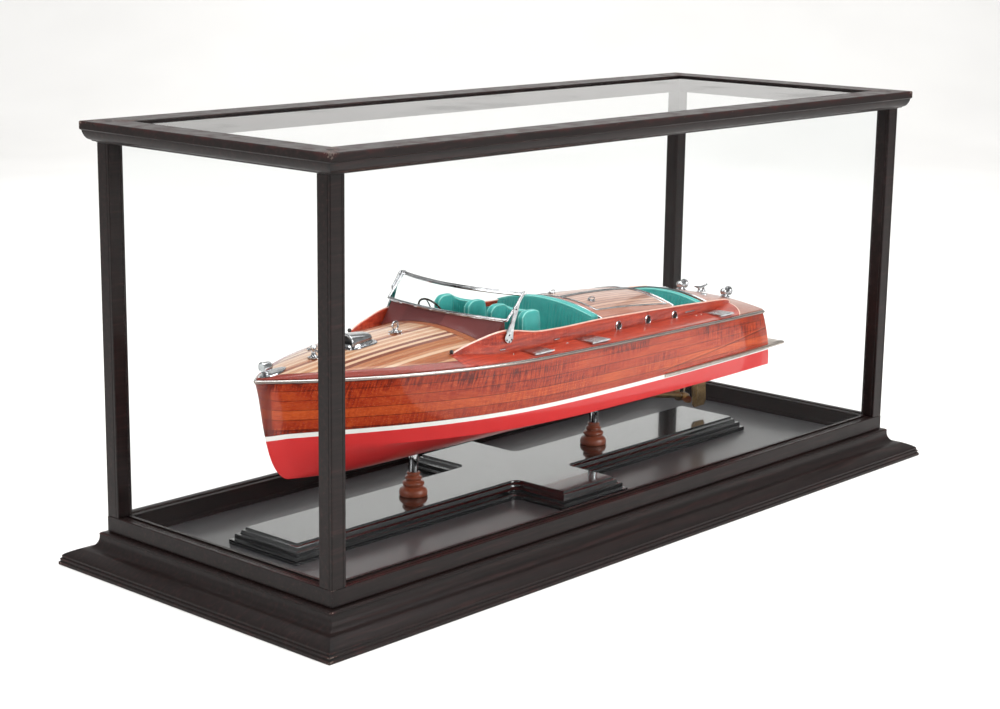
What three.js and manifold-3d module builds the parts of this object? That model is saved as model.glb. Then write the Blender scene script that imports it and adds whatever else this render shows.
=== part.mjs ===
// A mahogany runabout motorboat model with radio-control gear, on a stand in a glazed display case.
// Millimetres, +Z up. The origin is the centre of the case's underside, +X points to the bow and
// +Y to port. The boat and its stand share one small sideways offset inside the case.
import * as THREE from "three";
import { mergeVertices } from "three/addons/utils/BufferGeometryUtils.js";
import Module from "manifold-3d";

const wasm = await Module();
wasm.setup();

// ---- driving dimensions ----
const GAP = 0.3; // clearance between touching pieces
const BASE = { halfX: 508, halfY: 205, height: 35.1, floorTop: 30, floorThick: 12 };
const HOOD = { halfX: 470.7, halfY: 169, railTop: 52.4, post: 18, pane: 3 };
const TOP = { halfX: 482.4, halfY: 181.3, top: 458.8, faceWidth: 36, paneTop: 456.5 };
const BOAT_Y = -10; // sideways offset of the boat and its stand
const STAND = { aft: -345, fore: 388, half: 39, armAft: -25, armFore: 60, armHalf: 108, top: 48, fillet: 10 };
const PEDESTALS = { fore: 184, aft: -120, top: 74, rodRadius: 4.5 };
const HULL = { wall: 3.5, bow: 404.4, transom: -345, transomTop: -336, stemChine: 386.4, stemKeel: 364.1 };
const DECK_THICK = 3;
const COAMING_THICK = 3.2;
const HATCH = { fore: -53, aft: -176, inner: 0.7, outerFore: 55, outerAft: 62 };
const COCKPIT = { fore: 152, aft: -42, rearFore: -183, rearAft: -256, sole: 140, rearSole: 150 };
const SHIELD = { baseX: 134.8, baseZ: 246.2, baseHalf: 88.3, topX: 109.6, topZ: 272.2, topHalf: 89.6 };
const SHIELD_BOW = { base: 11, top: 17 }; // how far the middle of each rail stands forward
const WHEEL = { x: 116, y: -40, z: 234.5, radius: 18, rake: 30 };
const SHAFT = { x: -296, z: 77, slope: 10.5, radius: 2, tubeRadius: 4, front: -101 };
const PROP = { radius: 14.5, hub: 4, length: 12 };
const RUDDER = { x: -322, chord: 28, bottom: 58, stock: 2.2 };
const SERVO = { x: -276, arm: 16, bodyTop: 125, hornZ: 128 };

// ---- finishes ----
const finish = (color, roughness, metalness = 0) => ({ color, roughness, metalness });
const EBONY = finish(0x2a2523, 0.38);
const BLACK_GLOSS = finish(0x141414, 0.1);
const FLOOR_GREY = finish(0x2b2b2b, 0.5);
const GLASS = finish(0xeef4f4, 0.03);
const MAHOGANY = finish(0xb0452a, 0.18);
const FIN_RED = finish(0xa23320, 0.2);
const BLONDE = finish(0xc79f72, 0.2);
const PLUM = finish(0x6d423e, 0.3);
const TEAL = finish(0x2c9c90, 0.6);
const CHROME = finish(0xd5d7da, 0.12, 1);
const BRASS = finish(0xb18b4a, 0.25, 1);
const ROSEWOOD = finish(0x7a3a2c, 0.2);
const BLACK_PLASTIC = finish(0x1b1b1d, 0.5);
const BLUE_WRAP = finish(0x24508c, 0.4);
const PLY = finish(0xb98a57, 0.6);

// ---- small maths ----
const lerp = (a, b, t) => a + (b - a) * t;
const clamp = (v, low, high) => Math.min(high, Math.max(low, v));
const rad = (degrees) => (degrees * Math.PI) / 180;
const steps = (from, to, count) => Array.from({ length: count + 1 }, (_, i) => lerp(from, to, i / count));
const smooth = (from, to, v) => {
  const t = clamp((v - from) / (to - from), 0, 1);
  return t * t * (3 - 2 * t);
};

// A value read by straight lines from [x, value] points that run from bow to stern.
function along(points, x) {
  const found = points.findIndex((p, i) => i > 0 && p[0] <= x);
  const i = found < 0 ? points.length - 1 : found;
  const [a, b] = [points[i - 1], points[i]];
  return lerp(a[1], b[1], clamp((x - a[0]) / (b[0] - a[0]), 0, 1));
}

// ---- solids ----
// Closed geometry from triangles given as rows of three points; slivers of no area are dropped.
function fromTriangles(triangles) {
  const key = (p) => p.map((v) => Math.round(v * 1e4)).join();
  const good = triangles.filter(([a, b, c]) => new Set([key(a), key(b), key(c)]).size === 3);
  const geometry = new THREE.BufferGeometry();
  geometry.setAttribute("position", new THREE.BufferAttribute(new Float32Array(good.flat(2)), 3));
  return geometry;
}

const quad = (a, b, c, d) => [
  [a, b, c],
  [a, c, d],
];

// A closed plate between two grids of points: outer[i][j] is one face, inner[i][j] the other.
function plate(outer, inner) {
  const rows = outer.length - 1;
  const columns = outer[0].length - 1;
  const out = [];
  for (let i = 0; i < rows; i++) {
    for (let j = 0; j < columns; j++) {
      out.push(...quad(outer[i][j], outer[i + 1][j], outer[i + 1][j + 1], outer[i][j + 1]));
      out.push(...quad(inner[i][j], inner[i][j + 1], inner[i + 1][j + 1], inner[i + 1][j]));
    }
    out.push(...quad(outer[i][0], inner[i][0], inner[i + 1][0], outer[i + 1][0]));
    out.push(...quad(outer[i][columns], outer[i + 1][columns], inner[i + 1][columns], inner[i][columns]));
  }
  for (let j = 0; j < columns; j++) {
    out.push(...quad(outer[0][j], outer[0][j + 1], inner[0][j + 1], inner[0][j]));
    out.push(...quad(outer[rows][j], inner[rows][j], inner[rows][j + 1], outer[rows][j + 1]));
  }
  return facingOut(fromTriangles(out));
}

// A ring of rectangles: each profile point is [half length, half width, height]; the profile closes.
function rectangleRing(profile) {
  const loops = profile.map(([hx, hy, z]) => [
    [hx, hy, z],
    [-hx, hy, z],
    [-hx, -hy, z],
    [hx, -hy, z],
  ]);
  const out = [];
  loops.forEach((loop, i) => {
    const next = loops[(i + 1) % loops.length];
    for (let j = 0; j < 4; j++) {
      const k = (j + 1) % 4;
      out.push(...quad(loop[j], loop[k], next[k], next[j]));
    }
  });
  return facingOut(fromTriangles(out));
}

// A section of points carried through a list of frames, closed with a fan at both ends.
function loft(sections) {
  const count = sections[0].length;
  const out = [];
  for (let i = 0; i < sections.length - 1; i++) {
    for (let j = 0; j < count; j++) {
      const k = (j + 1) % count;
      out.push(...quad(sections[i][j], sections[i][k], sections[i + 1][k], sections[i + 1][j]));
    }
  }
  const last = sections[sections.length - 1];
  for (let j = 1; j < count - 1; j++) {
    out.push([sections[0][0], sections[0][j + 1], sections[0][j]]);
    out.push([last[0], last[j], last[j + 1]]);
  }
  return facingOut(fromTriangles(out));
}

function toSolid(geometry) {
  const bare = geometry.index ? geometry.toNonIndexed() : geometry.clone();
  bare.deleteAttribute("normal");
  bare.deleteAttribute("uv");
  const merged = mergeVertices(bare, 1e-3);
  return new wasm.Manifold(
    new wasm.Mesh({
      numProp: 3,
      vertProperties: merged.attributes.position.array,
      triVerts: new Uint32Array(merged.index.array),
    }),
  );
}

function toGeometry(solid) {
  const mesh = solid.getMesh();
  const geometry = new THREE.BufferGeometry();
  geometry.setAttribute("position", new THREE.BufferAttribute(new Float32Array(mesh.vertProperties), 3));
  geometry.setIndex(new THREE.BufferAttribute(new Uint32Array(mesh.triVerts), 1));
  return geometry;
}

// Turns a closed geometry's faces outwards when its volume comes out negative.
function facingOut(geometry) {
  const p = geometry.attributes.position.array;
  let volume = 0;
  for (let i = 0; i < p.length; i += 9) {
    volume += p[i] * (p[i + 4] * p[i + 8] - p[i + 5] * p[i + 7]);
    volume += p[i + 1] * (p[i + 5] * p[i + 6] - p[i + 3] * p[i + 8]);
    volume += p[i + 2] * (p[i + 3] * p[i + 7] - p[i + 4] * p[i + 6]);
  }
  if (volume < 0) {
    for (let i = 0; i < p.length; i += 9) {
      for (let k = 0; k < 3; k++) [p[i + 3 + k], p[i + 6 + k]] = [p[i + 6 + k], p[i + 3 + k]];
    }
  }
  return geometry;
}

const join = (...parts) => toGeometry(parts.map(toSolid).reduce((a, b) => a.add(b)));
const cut = (body, ...tools) => toGeometry(tools.map(toSolid).reduce((a, b) => a.subtract(b), toSolid(body)));

function box(x0, x1, y0, y1, z0, z1) {
  return new THREE.BoxGeometry(x1 - x0, y1 - y0, z1 - z0).translate((x0 + x1) / 2, (y0 + y1) / 2, (z0 + z1) / 2);
}

// An outline in plan, [x, y] points or a Shape, raised from z0 to z1.
function prism(outline, z0, z1, curveSegments = 4) {
  const shape = Array.isArray(outline) ? new THREE.Shape(outline.map((p) => new THREE.Vector2(...p))) : outline;
  return new THREE.ExtrudeGeometry(shape, { depth: z1 - z0, bevelEnabled: false, curveSegments }).translate(0, 0, z0);
}

// An outline in side view, [x, z] points or a Shape, carried across from y0 to y1.
function sidePrism(outline, y0, y1, curveSegments = 4) {
  return prism(outline, -y1, -y0, curveSegments).rotateX(Math.PI / 2);
}

// A turned piece about a vertical axis from [radius, z] points.
function turned(profile, segments = 16) {
  const points = profile.map(([r, z]) => new THREE.Vector2(r, z));
  return new THREE.LatheGeometry(points, segments).rotateX(Math.PI / 2);
}

// A round bar between two points.
function bar(from, to, radius, segments = 10, radiusTo = radius) {
  const [a, b] = [new THREE.Vector3(...from), new THREE.Vector3(...to)];
  const length = a.distanceTo(b);
  const turn = new THREE.Quaternion().setFromUnitVectors(new THREE.Vector3(0, 1, 0), b.clone().sub(a).normalize());
  const cylinder = new THREE.CylinderGeometry(radiusTo, radius, length, segments).translate(0, length / 2, 0);
  return cylinder.applyQuaternion(turn).translate(a.x, a.y, a.z);
}

// A round rail along a smooth curve through points.
function rail(points, radius, count, segments = 6) {
  const curve = new THREE.CatmullRomCurve3(points.map((p) => new THREE.Vector3(...p)));
  const circle = new THREE.Shape(
    steps(0, 2 * Math.PI, segments)
      .slice(0, -1)
      .map((a) => new THREE.Vector2(radius * Math.cos(a), radius * Math.sin(a))),
  );
  return new THREE.ExtrudeGeometry(circle, { steps: count, extrudePath: curve, bevelEnabled: false });
}

// ---- the scene graph ----
const root = new THREE.Group();
const boat = new THREE.Group();
boat.position.y = BOAT_Y;
root.add(boat);

function add(name, geometry, look, parent = boat) {
  const material = new THREE.MeshStandardMaterial(look);
  if (look === GLASS) Object.assign(material, { transparent: true, opacity: 0.25 });
  const mesh = new THREE.Mesh(geometry, material);
  mesh.name = name;
  parent.add(mesh);
  return mesh;
}

// ---- display case ----
// The base moulding, from its foot up: a thin foot, two fine grooves, a convex roll, a hollow cove
// and a small bead. Each pair is [how far it stands out from the hood, height].
function buildBase() {
  const outline = [
    [37, 0],
    [37, 3.2],
    [35.4, 4.4],
    [35.8, 6.6],
    [34.2, 7.8],
    [34.4, 10],
    [31, 12.6],
    [26.6, 14.8],
    [19.4, 17.6],
    [12.8, 21.4],
    [8.4, 26.2],
    [6.4, 30.4],
    [6.2, 33.4],
    [4.6, 34.8],
    [2, BASE.height],
  ];
  const scaleX = (BASE.halfX - HOOD.halfX) / 37;
  const scaleY = (BASE.halfY - HOOD.halfY) / 37;
  const outer = outline.map(([d, z]) => [HOOD.halfX + d * scaleX, HOOD.halfY + d * scaleY, z]);
  const inX = HOOD.halfX - HOOD.post;
  const inY = HOOD.halfY - HOOD.post;
  const ledge = BASE.floorTop - BASE.floorThick - GAP;
  const inner = [
    [inX, inY, BASE.height],
    [inX, inY, ledge],
    [inX - 22, inY - 22, ledge],
    [inX - 22, inY - 22, 0],
  ];
  add("base_moulding", rectangleRing([...outer, ...inner]), EBONY, root);
  const [px, py] = [inX - GAP, inY - GAP];
  add("floor_panel", box(-px, px, -py, py, BASE.floorTop - BASE.floorThick, BASE.floorTop), FLOOR_GREY, root);
}

function buildHood() {
  const { halfX, halfY, railTop, post, pane } = HOOD;
  const railBottom = BASE.height + GAP;
  const underTop = 437.8;
  add(
    "hood_bottom_rail",
    rectangleRing([
      [halfX, halfY, railBottom],
      [halfX, halfY, railTop],
      [halfX - post, halfY - post, railTop],
      [halfX - post, halfY - post, railBottom],
    ]),
    EBONY,
    root,
  );
  const [z0, z1] = [railTop + GAP, underTop - GAP];
  for (const [end, sx] of [["bow", 1], ["stern", -1]]) {
    for (const [side, sy] of [["port", 1], ["starboard", -1]]) {
      const x = sx * (halfX - post / 2);
      const y = sy * (halfY - post / 2);
      const h = post / 2;
      add("post_" + end + "_" + side, box(x - h, x + h, y - h, y + h, z0, z1), EBONY, root);
    }
  }
  // The top frame: a flat fascia, a small step and a cove down to the posts, with a groove for its pane.
  const lip = TOP.faceWidth;
  const over = TOP.halfX - HOOD.halfX;
  const outline = [
    [0, TOP.top],
    [0, 450.5],
    [1.6, 449.4],
    [1.8, 448],
    [3.4, 444],
    [5.6, 440.8],
    [8.4, 439.8],
    [8.6, 438.9],
    [over - 0.6, 438.5],
    [over, underTop],
    [lip, underTop],
    [lip, TOP.paneTop - pane - GAP],
    [lip - 5, TOP.paneTop - pane - GAP],
    [lip - 5, TOP.paneTop + GAP],
    [lip, TOP.paneTop + GAP],
    [lip, TOP.top],
  ];
  add("top_frame", rectangleRing(outline.map(([d, z]) => [TOP.halfX - d, TOP.halfY - d, z])), EBONY, root);
  const into = lip - 5 + GAP;
  const [tx, ty] = [TOP.halfX - into, TOP.halfY - into];
  add("pane_top", box(-tx, tx, -ty, ty, TOP.paneTop - pane, TOP.paneTop), GLASS, root);
  const [gx, gy] = [halfX - post - GAP, halfY - post - GAP];
  const [cx, cy, p] = [halfX - post / 2, halfY - post / 2, pane / 2];
  add("pane_bow", box(cx - p, cx + p, -gy, gy, z0, z1), GLASS, root);
  add("pane_stern", box(-cx - p, -cx + p, -gy, gy, z0, z1), GLASS, root);
  add("pane_port", box(-gx, gx, cy - p, cy + p, z0, z1), GLASS, root);
  add("pane_starboard", box(-gx, gx, -cy - p, -cy + p, z0, z1), GLASS, root);
}

// ---- stand ----
// The cross outline grown by an amount, with filleted inner corners.
function crossShape(grow) {
  const [x0, x1, h] = [STAND.aft - grow, STAND.fore + grow, STAND.half + grow];
  const [a0, a1, ah] = [STAND.armAft - grow, STAND.armFore + grow, STAND.armHalf + grow];
  const r = STAND.fillet;
  const s = new THREE.Shape();
  s.moveTo(x0, -h);
  s.lineTo(a0 - r, -h);
  s.absarc(a0 - r, -h - r, r, Math.PI / 2, 0, true);
  s.lineTo(a0, -ah);
  s.lineTo(a1, -ah);
  s.lineTo(a1, -h - r);
  s.absarc(a1 + r, -h - r, r, Math.PI, Math.PI / 2, true);
  s.lineTo(x1, -h);
  s.lineTo(x1, h);
  s.lineTo(a1 + r, h);
  s.absarc(a1 + r, h + r, r, -Math.PI / 2, -Math.PI, true);
  s.lineTo(a1, ah);
  s.lineTo(a0, ah);
  s.lineTo(a0, h + r);
  s.absarc(a0 - r, h + r, r, 0, -Math.PI / 2, true);
  s.lineTo(x0, h);
  return s;
}

function buildStand() {
  const floor = BASE.floorTop + GAP;
  const layers = [
    [12, floor, 35.4],
    [8, 34, 41],
    [3.5, 40, 45.5],
    [0, 44, STAND.top],
  ];
  add("stand_board", join(...layers.map(([grow, z0, z1]) => prism(crossShape(grow), z0, z1, 3))), BLACK_GLOSS);
  const foot = STAND.top + GAP;
  const socket = PEDESTALS.rodRadius + GAP + 0.2;
  const turning = [
    [0, foot],
    [13, foot],
    [15, foot + 2.5],
    [15.5, foot + 5.5],
    [13.6, foot + 8],
    [12, foot + 9],
    [13.2, foot + 11],
    [12.6, foot + 14],
    [9.2, foot + 15.6],
    [10.8, foot + 18],
    [9.6, foot + 20.4],
    [7, foot + 21.6],
    [8.2, foot + 24],
    [7, PEDESTALS.top],
    [socket, PEDESTALS.top],
    [socket, PEDESTALS.top - 9],
    [0, PEDESTALS.top - 9],
  ];
  for (const end of ["fore", "aft"]) {
    const x = PEDESTALS[end];
    add("pedestal_" + end, turned(turning, 20), ROSEWOOD).position.x = x;
    const rod = bar([0, 0, PEDESTALS.top - 9 + GAP], [0, 0, keelZ(x) + 6], PEDESTALS.rodRadius, 14);
    add("pedestal_rod_" + end, rod, CHROME).position.x = x;
  }
}

// ---- hull lines ----
// Half-breadth along the length: full at one station, easing to the bow and to the transom.
function breadth(x, full, transom, power, keep, widest, bow) {
  if (x >= bow) return 0;
  if (x > widest) return full * (1 - ((x - widest) / (bow - widest)) ** power) ** keep;
  return full - (full - transom) * ((widest - x) / (widest - HULL.transom)) ** 2;
}

const sheerHalf = (x) => breadth(x, 112, 85.35, 2.028, 0.88, 88.4, HULL.bow);
const chineHalf = (x) => breadth(x, 100, 91.25, 3.074, 1.323, -60, HULL.stemChine);

function sheerZ(x) {
  const u = (x - HULL.transom) / (HULL.bow - HULL.transom);
  return 193.66 + 29.905 * u - 10.873 * u * u;
}

function chineZ(x) {
  const u = (x - HULL.transom) / (HULL.stemChine - HULL.transom);
  return 124.54 + 3.671 * u + 22.522 * Math.max(u - 0.45, 0) ** 2;
}

function keelZ(x) {
  return 94 + 8 * (Math.max(x - 250, 0) / (HULL.stemKeel - 250)) ** 2;
}

// The stem's profile from the deck down to the forefoot.
const STEM = new THREE.CatmullRomCurve3(
  [[403.5, 209.5], [399.4, 184.9], [394.7, 152.8], [386.4, 126], [375.5, 108.4], [364.1, 101.9]].map(
    ([x, z]) => new THREE.Vector3(x, 0, z),
  ),
);
const STATIONS = [0, 0.08, 0.18, 0.3, 0.42, 0.54, 0.64, 0.72, 0.79, 0.85, 0.9, 0.94, 0.97, 0.99, 1];
const SIDE_STEPS = 4;
const BOTTOM_STEPS = 4;

// A point of the port side at station t: v runs 0 at the keel, 1 at the chine, 2 at the sheer.
// inset moves it inwards by the wall.
function hullPoint(t, v, inset = 0) {
  const xs = lerp(HULL.transomTop, HULL.bow, t);
  const xc = lerp(HULL.transom, HULL.stemChine, t);
  const xk = lerp(HULL.transom, HULL.stemKeel, t);
  if (t > 0.999) {
    const p = STEM.getPoint(1 - v / 2);
    return [p.x, 0, Math.min(p.z, sheerZ(HULL.bow) - DECK_THICK - GAP)];
  }
  const bow = smooth(0.55, 0.95, t);
  if (v <= 1) {
    const p = lerp(1.12, 1.7, bow);
    const y = chineHalf(xc) * v;
    return [lerp(xk, xc, v), Math.max(y - inset, 0), lerp(keelZ(xk), chineZ(xc), v ** p) + inset];
  }
  const s = v - 1;
  const bulge = lerp(2.5, -2, bow) * 4 * s * (1 - s) * Math.min(1, (1 - t) * 8);
  const y = lerp(chineHalf(xc), sheerHalf(xs), s) + bulge;
  const z = lerp(chineZ(xc), sheerZ(xs) - DECK_THICK - GAP, s);
  return [lerp(xc, xs, s ** 1.5), Math.max(y - inset, 0), z + inset * (1 - s)];
}

// One station's points from the port sheer round the keel to the starboard sheer.
function hullSection(t, inset) {
  const side = steps(2, 1, SIDE_STEPS).map((v) => hullPoint(t, v, inset));
  const bottom = steps(1, 0, BOTTOM_STEPS).slice(1).map((v) => hullPoint(t, v, inset));
  const port = [...side, ...bottom];
  const starboard = port.slice(0, -1).map(([x, y, z]) => [x, -y, z]);
  return [...port, ...starboard.reverse()];
}

// ---- deck and coaming lines ----
const COAMING_HALF = [
  [208, 76],
  [172, 82],
  [141, 86.6],
  [86, 85],
  [49, 82.5],
  [-30, 77.4],
  [-122, 71.5],
  [-237, 64.2],
  [-300, 60],
  [-336, 57.8],
];
const COAMING_TOP = [
  [208, 219],
  [172, 230],
  [150, 234.6],
  [137, 236],
  [119, 233],
  [86, 227],
  [49, 224.5],
  [-30, 222.7],
  [-122, 218.5],
  [-237, 212],
  [-300, 207.5],
  [-320, 205],
  [-330, 200.5],
  [-336, 197.4],
];
const COAMING_XS = [207.6, 190, 172, 156, 141, 130, 119, 102, 86, 49, 10, -30, -76, -122, -180, -237, -300, -320, -330, -336];
const coamingHalf = (x) => along(COAMING_HALF, x);

// The deck's middle line, level amidships and falling away to both ends.
function crownZ(x) {
  if (x > 100) return 234 - 21.3 * ((x - 100) / 304.4) ** 2;
  if (x < -60) return 234 - 34 * ((-60 - x) / 285) ** 2;
  return 234;
}

// The cambered deck surface.
function deckZ(x, y) {
  const half = Math.max(sheerHalf(x), 1);
  return sheerZ(x) + (crownZ(x) - sheerZ(x)) * (1 - Math.min(Math.abs(y) / half, 1) ** 2);
}

// The side deck: nearly level beside the cockpits, blending into the cambered deck at both ends.
function sideDeckZ(x, y) {
  const [half, inner] = [sheerHalf(x), coamingHalf(x)];
  const blend = Math.max(smooth(120, 208, x), smooth(-290, -336, x));
  const rise = lerp(2.5, deckZ(x, inner) - sheerZ(x), blend);
  const full = 1 - (inner / half) ** 2;
  return sheerZ(x) + (rise * (1 - Math.min(y / half, 1) ** 2)) / full;
}

// A deck plate over stations xs; span(x) gives the two edges in y and height(x, y) its top.
function deckPlate(xs, span, columns, height, thick = DECK_THICK) {
  const top = xs.map((x) => {
    const [from, to] = span(x);
    return steps(from, to, columns).map((y) => [x, y, height(x, y)]);
  });
  return plate(top, top.map((row) => row.map(([x, y, z]) => [x, y, z - thick])));
}

const innerSpan = (x) => [-(coamingHalf(x) - COAMING_THICK / 2 - GAP), coamingHalf(x) - COAMING_THICK / 2 - GAP];

// The same plan edge as the hull's own straight facets, so that plates end flush on it.
function sheerFacet(x) {
  const nodes = STATIONS.map((t) => lerp(HULL.transomTop, HULL.bow, t));
  const i = clamp(nodes.findIndex((n) => n >= x), 1, nodes.length - 1);
  const s = (x - nodes[i - 1]) / (nodes[i] - nodes[i - 1]);
  return lerp(sheerHalf(nodes[i - 1]), sheerHalf(nodes[i]), s);
}

function buildHull() {
  const outer = loft(STATIONS.map((t) => hullSection(t, 0)));
  const hold = STATIONS.filter((t) => t < 0.98).map((t) => {
    const section = hullSection(t, HULL.wall).map(([x, y, z]) => [t === 0 ? x + 4 : x, y, z]);
    const [port, starboard] = [section[0], section[section.length - 1]];
    return [[port[0], port[1], port[2] + 30], ...section, [starboard[0], starboard[1], starboard[2] + 30]];
  });
  const holes = [
    bar([PEDESTALS.fore, 0, 80], [PEDESTALS.fore, 0, 110], PEDESTALS.rodRadius + 0.4, 14),
    bar([PEDESTALS.aft, 0, 80], [PEDESTALS.aft, 0, 110], PEDESTALS.rodRadius + 0.4, 14),
    bar(shaftPoint(-130), shaftPoint(-275), SHAFT.tubeRadius + 0.4, 14),
    bar([RUDDER.x, 0, 80], [RUDDER.x, 0, 110], RUDDER.stock + 0.5, 12),
  ];
  add("hull", cut(outer, loft(hold), ...holes), MAHOGANY);
}

// ---- decks, coamings and rails ----
function buildDecks() {
  const bowXs = [208, 240, 270, 300, 325, 348, 366, 382, 392, 399, 403];
  const forward = deckPlate(bowXs, (x) => [-sheerFacet(x), sheerFacet(x)], 10, deckZ);
  const betweenXs = [COCKPIT.fore, 165, 180, 195, 208];
  const between = deckPlate(betweenXs, innerSpan, 10, deckZ);
  add("foredeck", join(forward, between), BLONDE);

  for (const [side, s] of [["port", 1], ["starboard", -1]]) {
    const sideDeck = deckPlate(
      COAMING_XS,
      (x) => [coamingHalf(x) + COAMING_THICK / 2 + GAP, sheerFacet(x)],
      2,
      (x, y) => sideDeckZ(x, y),
    );
    add("side_deck_" + side, s > 0 ? sideDeck : mirrored(sideDeck), FIN_RED);
    const depth = (x) => (x < -325 ? DECK_THICK - 0.4 : 12);
    const wall = (offset) =>
      COAMING_XS.map((x) => [
        [x, coamingHalf(x) + offset, along(COAMING_TOP, x)],
        [x, coamingHalf(x) + offset, sideDeckZ(x, coamingHalf(x)) - depth(x)],
      ]);
    const board = plate(wall(COAMING_THICK / 2), wall(-COAMING_THICK / 2));
    add("coaming_" + side, s > 0 ? board : mirrored(board), FIN_RED);
  }

  const engineXs = [COCKPIT.aft, HATCH.fore, -84, -115, -146, HATCH.aft, COCKPIT.rearFore];
  const engine = deckPlate(engineXs, innerSpan, 12, deckZ);
  const holeOutline = [
    [HATCH.fore + 0.5, HATCH.outerFore + 0.6],
    [HATCH.aft - 0.5, HATCH.outerAft + 0.6],
    [HATCH.aft - 0.5, -HATCH.outerAft - 0.6],
    [HATCH.fore + 0.5, -HATCH.outerFore - 0.6],
  ];
  add("engine_deck", cut(engine, prism(holeOutline, 150, 260)), MAHOGANY);
  const sternXs = [COCKPIT.rearAft, -275, -295, -315, HULL.transomTop];
  add("stern_deck", deckPlate(sternXs, innerSpan, 8, deckZ), MAHOGANY);

  for (const [side, s] of [["port", 1], ["starboard", -1]]) {
    const leaf = deckPlate(
      [HATCH.fore, -84, -115, -146, HATCH.aft],
      (x) => [HATCH.inner, lerp(HATCH.outerFore, HATCH.outerAft, (x - HATCH.fore) / (HATCH.aft - HATCH.fore))],
      5,
      deckZ,
    );
    add("hatch_" + side, s > 0 ? leaf : mirrored(leaf), MAHOGANY);
  }
}

// The same solid on the other side of the boat.
function mirrored(geometry) {
  const copy = geometry.index ? geometry.toNonIndexed() : geometry.clone();
  return facingOut(copy.scale(1, -1, 1));
}

// A strip carried round the hull's plan: points with their outward direction in plan.
function strip(path, near, far, low, high) {
  const sections = path.map(([x, y, z], i) => {
    const before = path[Math.max(i - 1, 0)];
    const after = path[Math.min(i + 1, path.length - 1)];
    const [dx, dy] = [after[0] - before[0], after[1] - before[1]];
    const length = Math.hypot(dx, dy);
    const [nx, ny] = [dy / length, -dx / length];
    return [
      [x + nx * near(i), y + ny * near(i), z + low],
      [x + nx * far(i), y + ny * far(i), z + low],
      [x + nx * far(i), y + ny * far(i), z + high],
      [x + nx * near(i), y + ny * near(i), z + high],
    ];
  });
  return loft(sections);
}

function buildRails() {
  // The rub rail runs from the starboard quarter round the stem to the port quarter.
  const half = STATIONS.slice(0, -1).map((t) => {
    const x = lerp(HULL.transomTop, HULL.bow, t);
    return [x, sheerHalf(x), sheerZ(x)];
  });
  const starboard = half.map(([x, y, z]) => [x, -y, z]);
  const path = [...starboard, [HULL.bow, 0, sheerZ(HULL.bow)], ...half.slice().reverse()];
  const blunt = path.length - 1;
  const out = (i) => (i === blunt / 2 ? 1.2 : 0.6);
  add("rub_rail", strip(path, out, (i) => out(i) + 2.4, -5, -1.2), CHROME);

  // The bright spray strip at the waterline stripe widens aft into a plate behind the transom.
  const level = 148;
  const run = STATIONS.filter((t) => t < 0.31).map((t) => {
    const v = [...steps(1, 2, 40)].find((s) => hullPoint(t, s)[2] >= level) ?? 2;
    const [x, y] = hullPoint(t, v);
    return [x, y, level];
  });
  const strips = [1, -1].map((s) => {
    const ordered = [...run].reverse().map(([x, y, z]) => [x, s * y, z]);
    const tail = ordered[ordered.length - 1];
    ordered.push([-372, tail[1] - s * 2, level]);
    const points = s > 0 ? ordered : ordered.reverse();
    const count = points.length - 1;
    const aft = (i) => (s > 0 ? i / count : 1 - i / count);
    return strip(points, () => 0.7, (i) => lerp(2, 5, aft(i)), -2, 2);
  });
  const plateBack = HULL.transom - 1;
  const tail = run[0][1];
  const shelf = box(-373, plateBack, -tail - 3, tail + 3, level - 2, level + 2);
  add("swim_plate", join(...strips, shelf), CHROME);
}

// ---- windshield, dash and wheel ----
const bowed = (x, half, bow, y) => x + bow * (1 - (y / half) ** 2);

function shieldPoint(s, y) {
  const half = lerp(SHIELD.baseHalf, SHIELD.topHalf, s);
  const x = lerp(bowed(SHIELD.baseX, half, SHIELD_BOW.base, y), bowed(SHIELD.topX, half, SHIELD_BOW.top, y), s);
  return [x, y, lerp(SHIELD.baseZ, SHIELD.topZ, s)];
}

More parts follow.
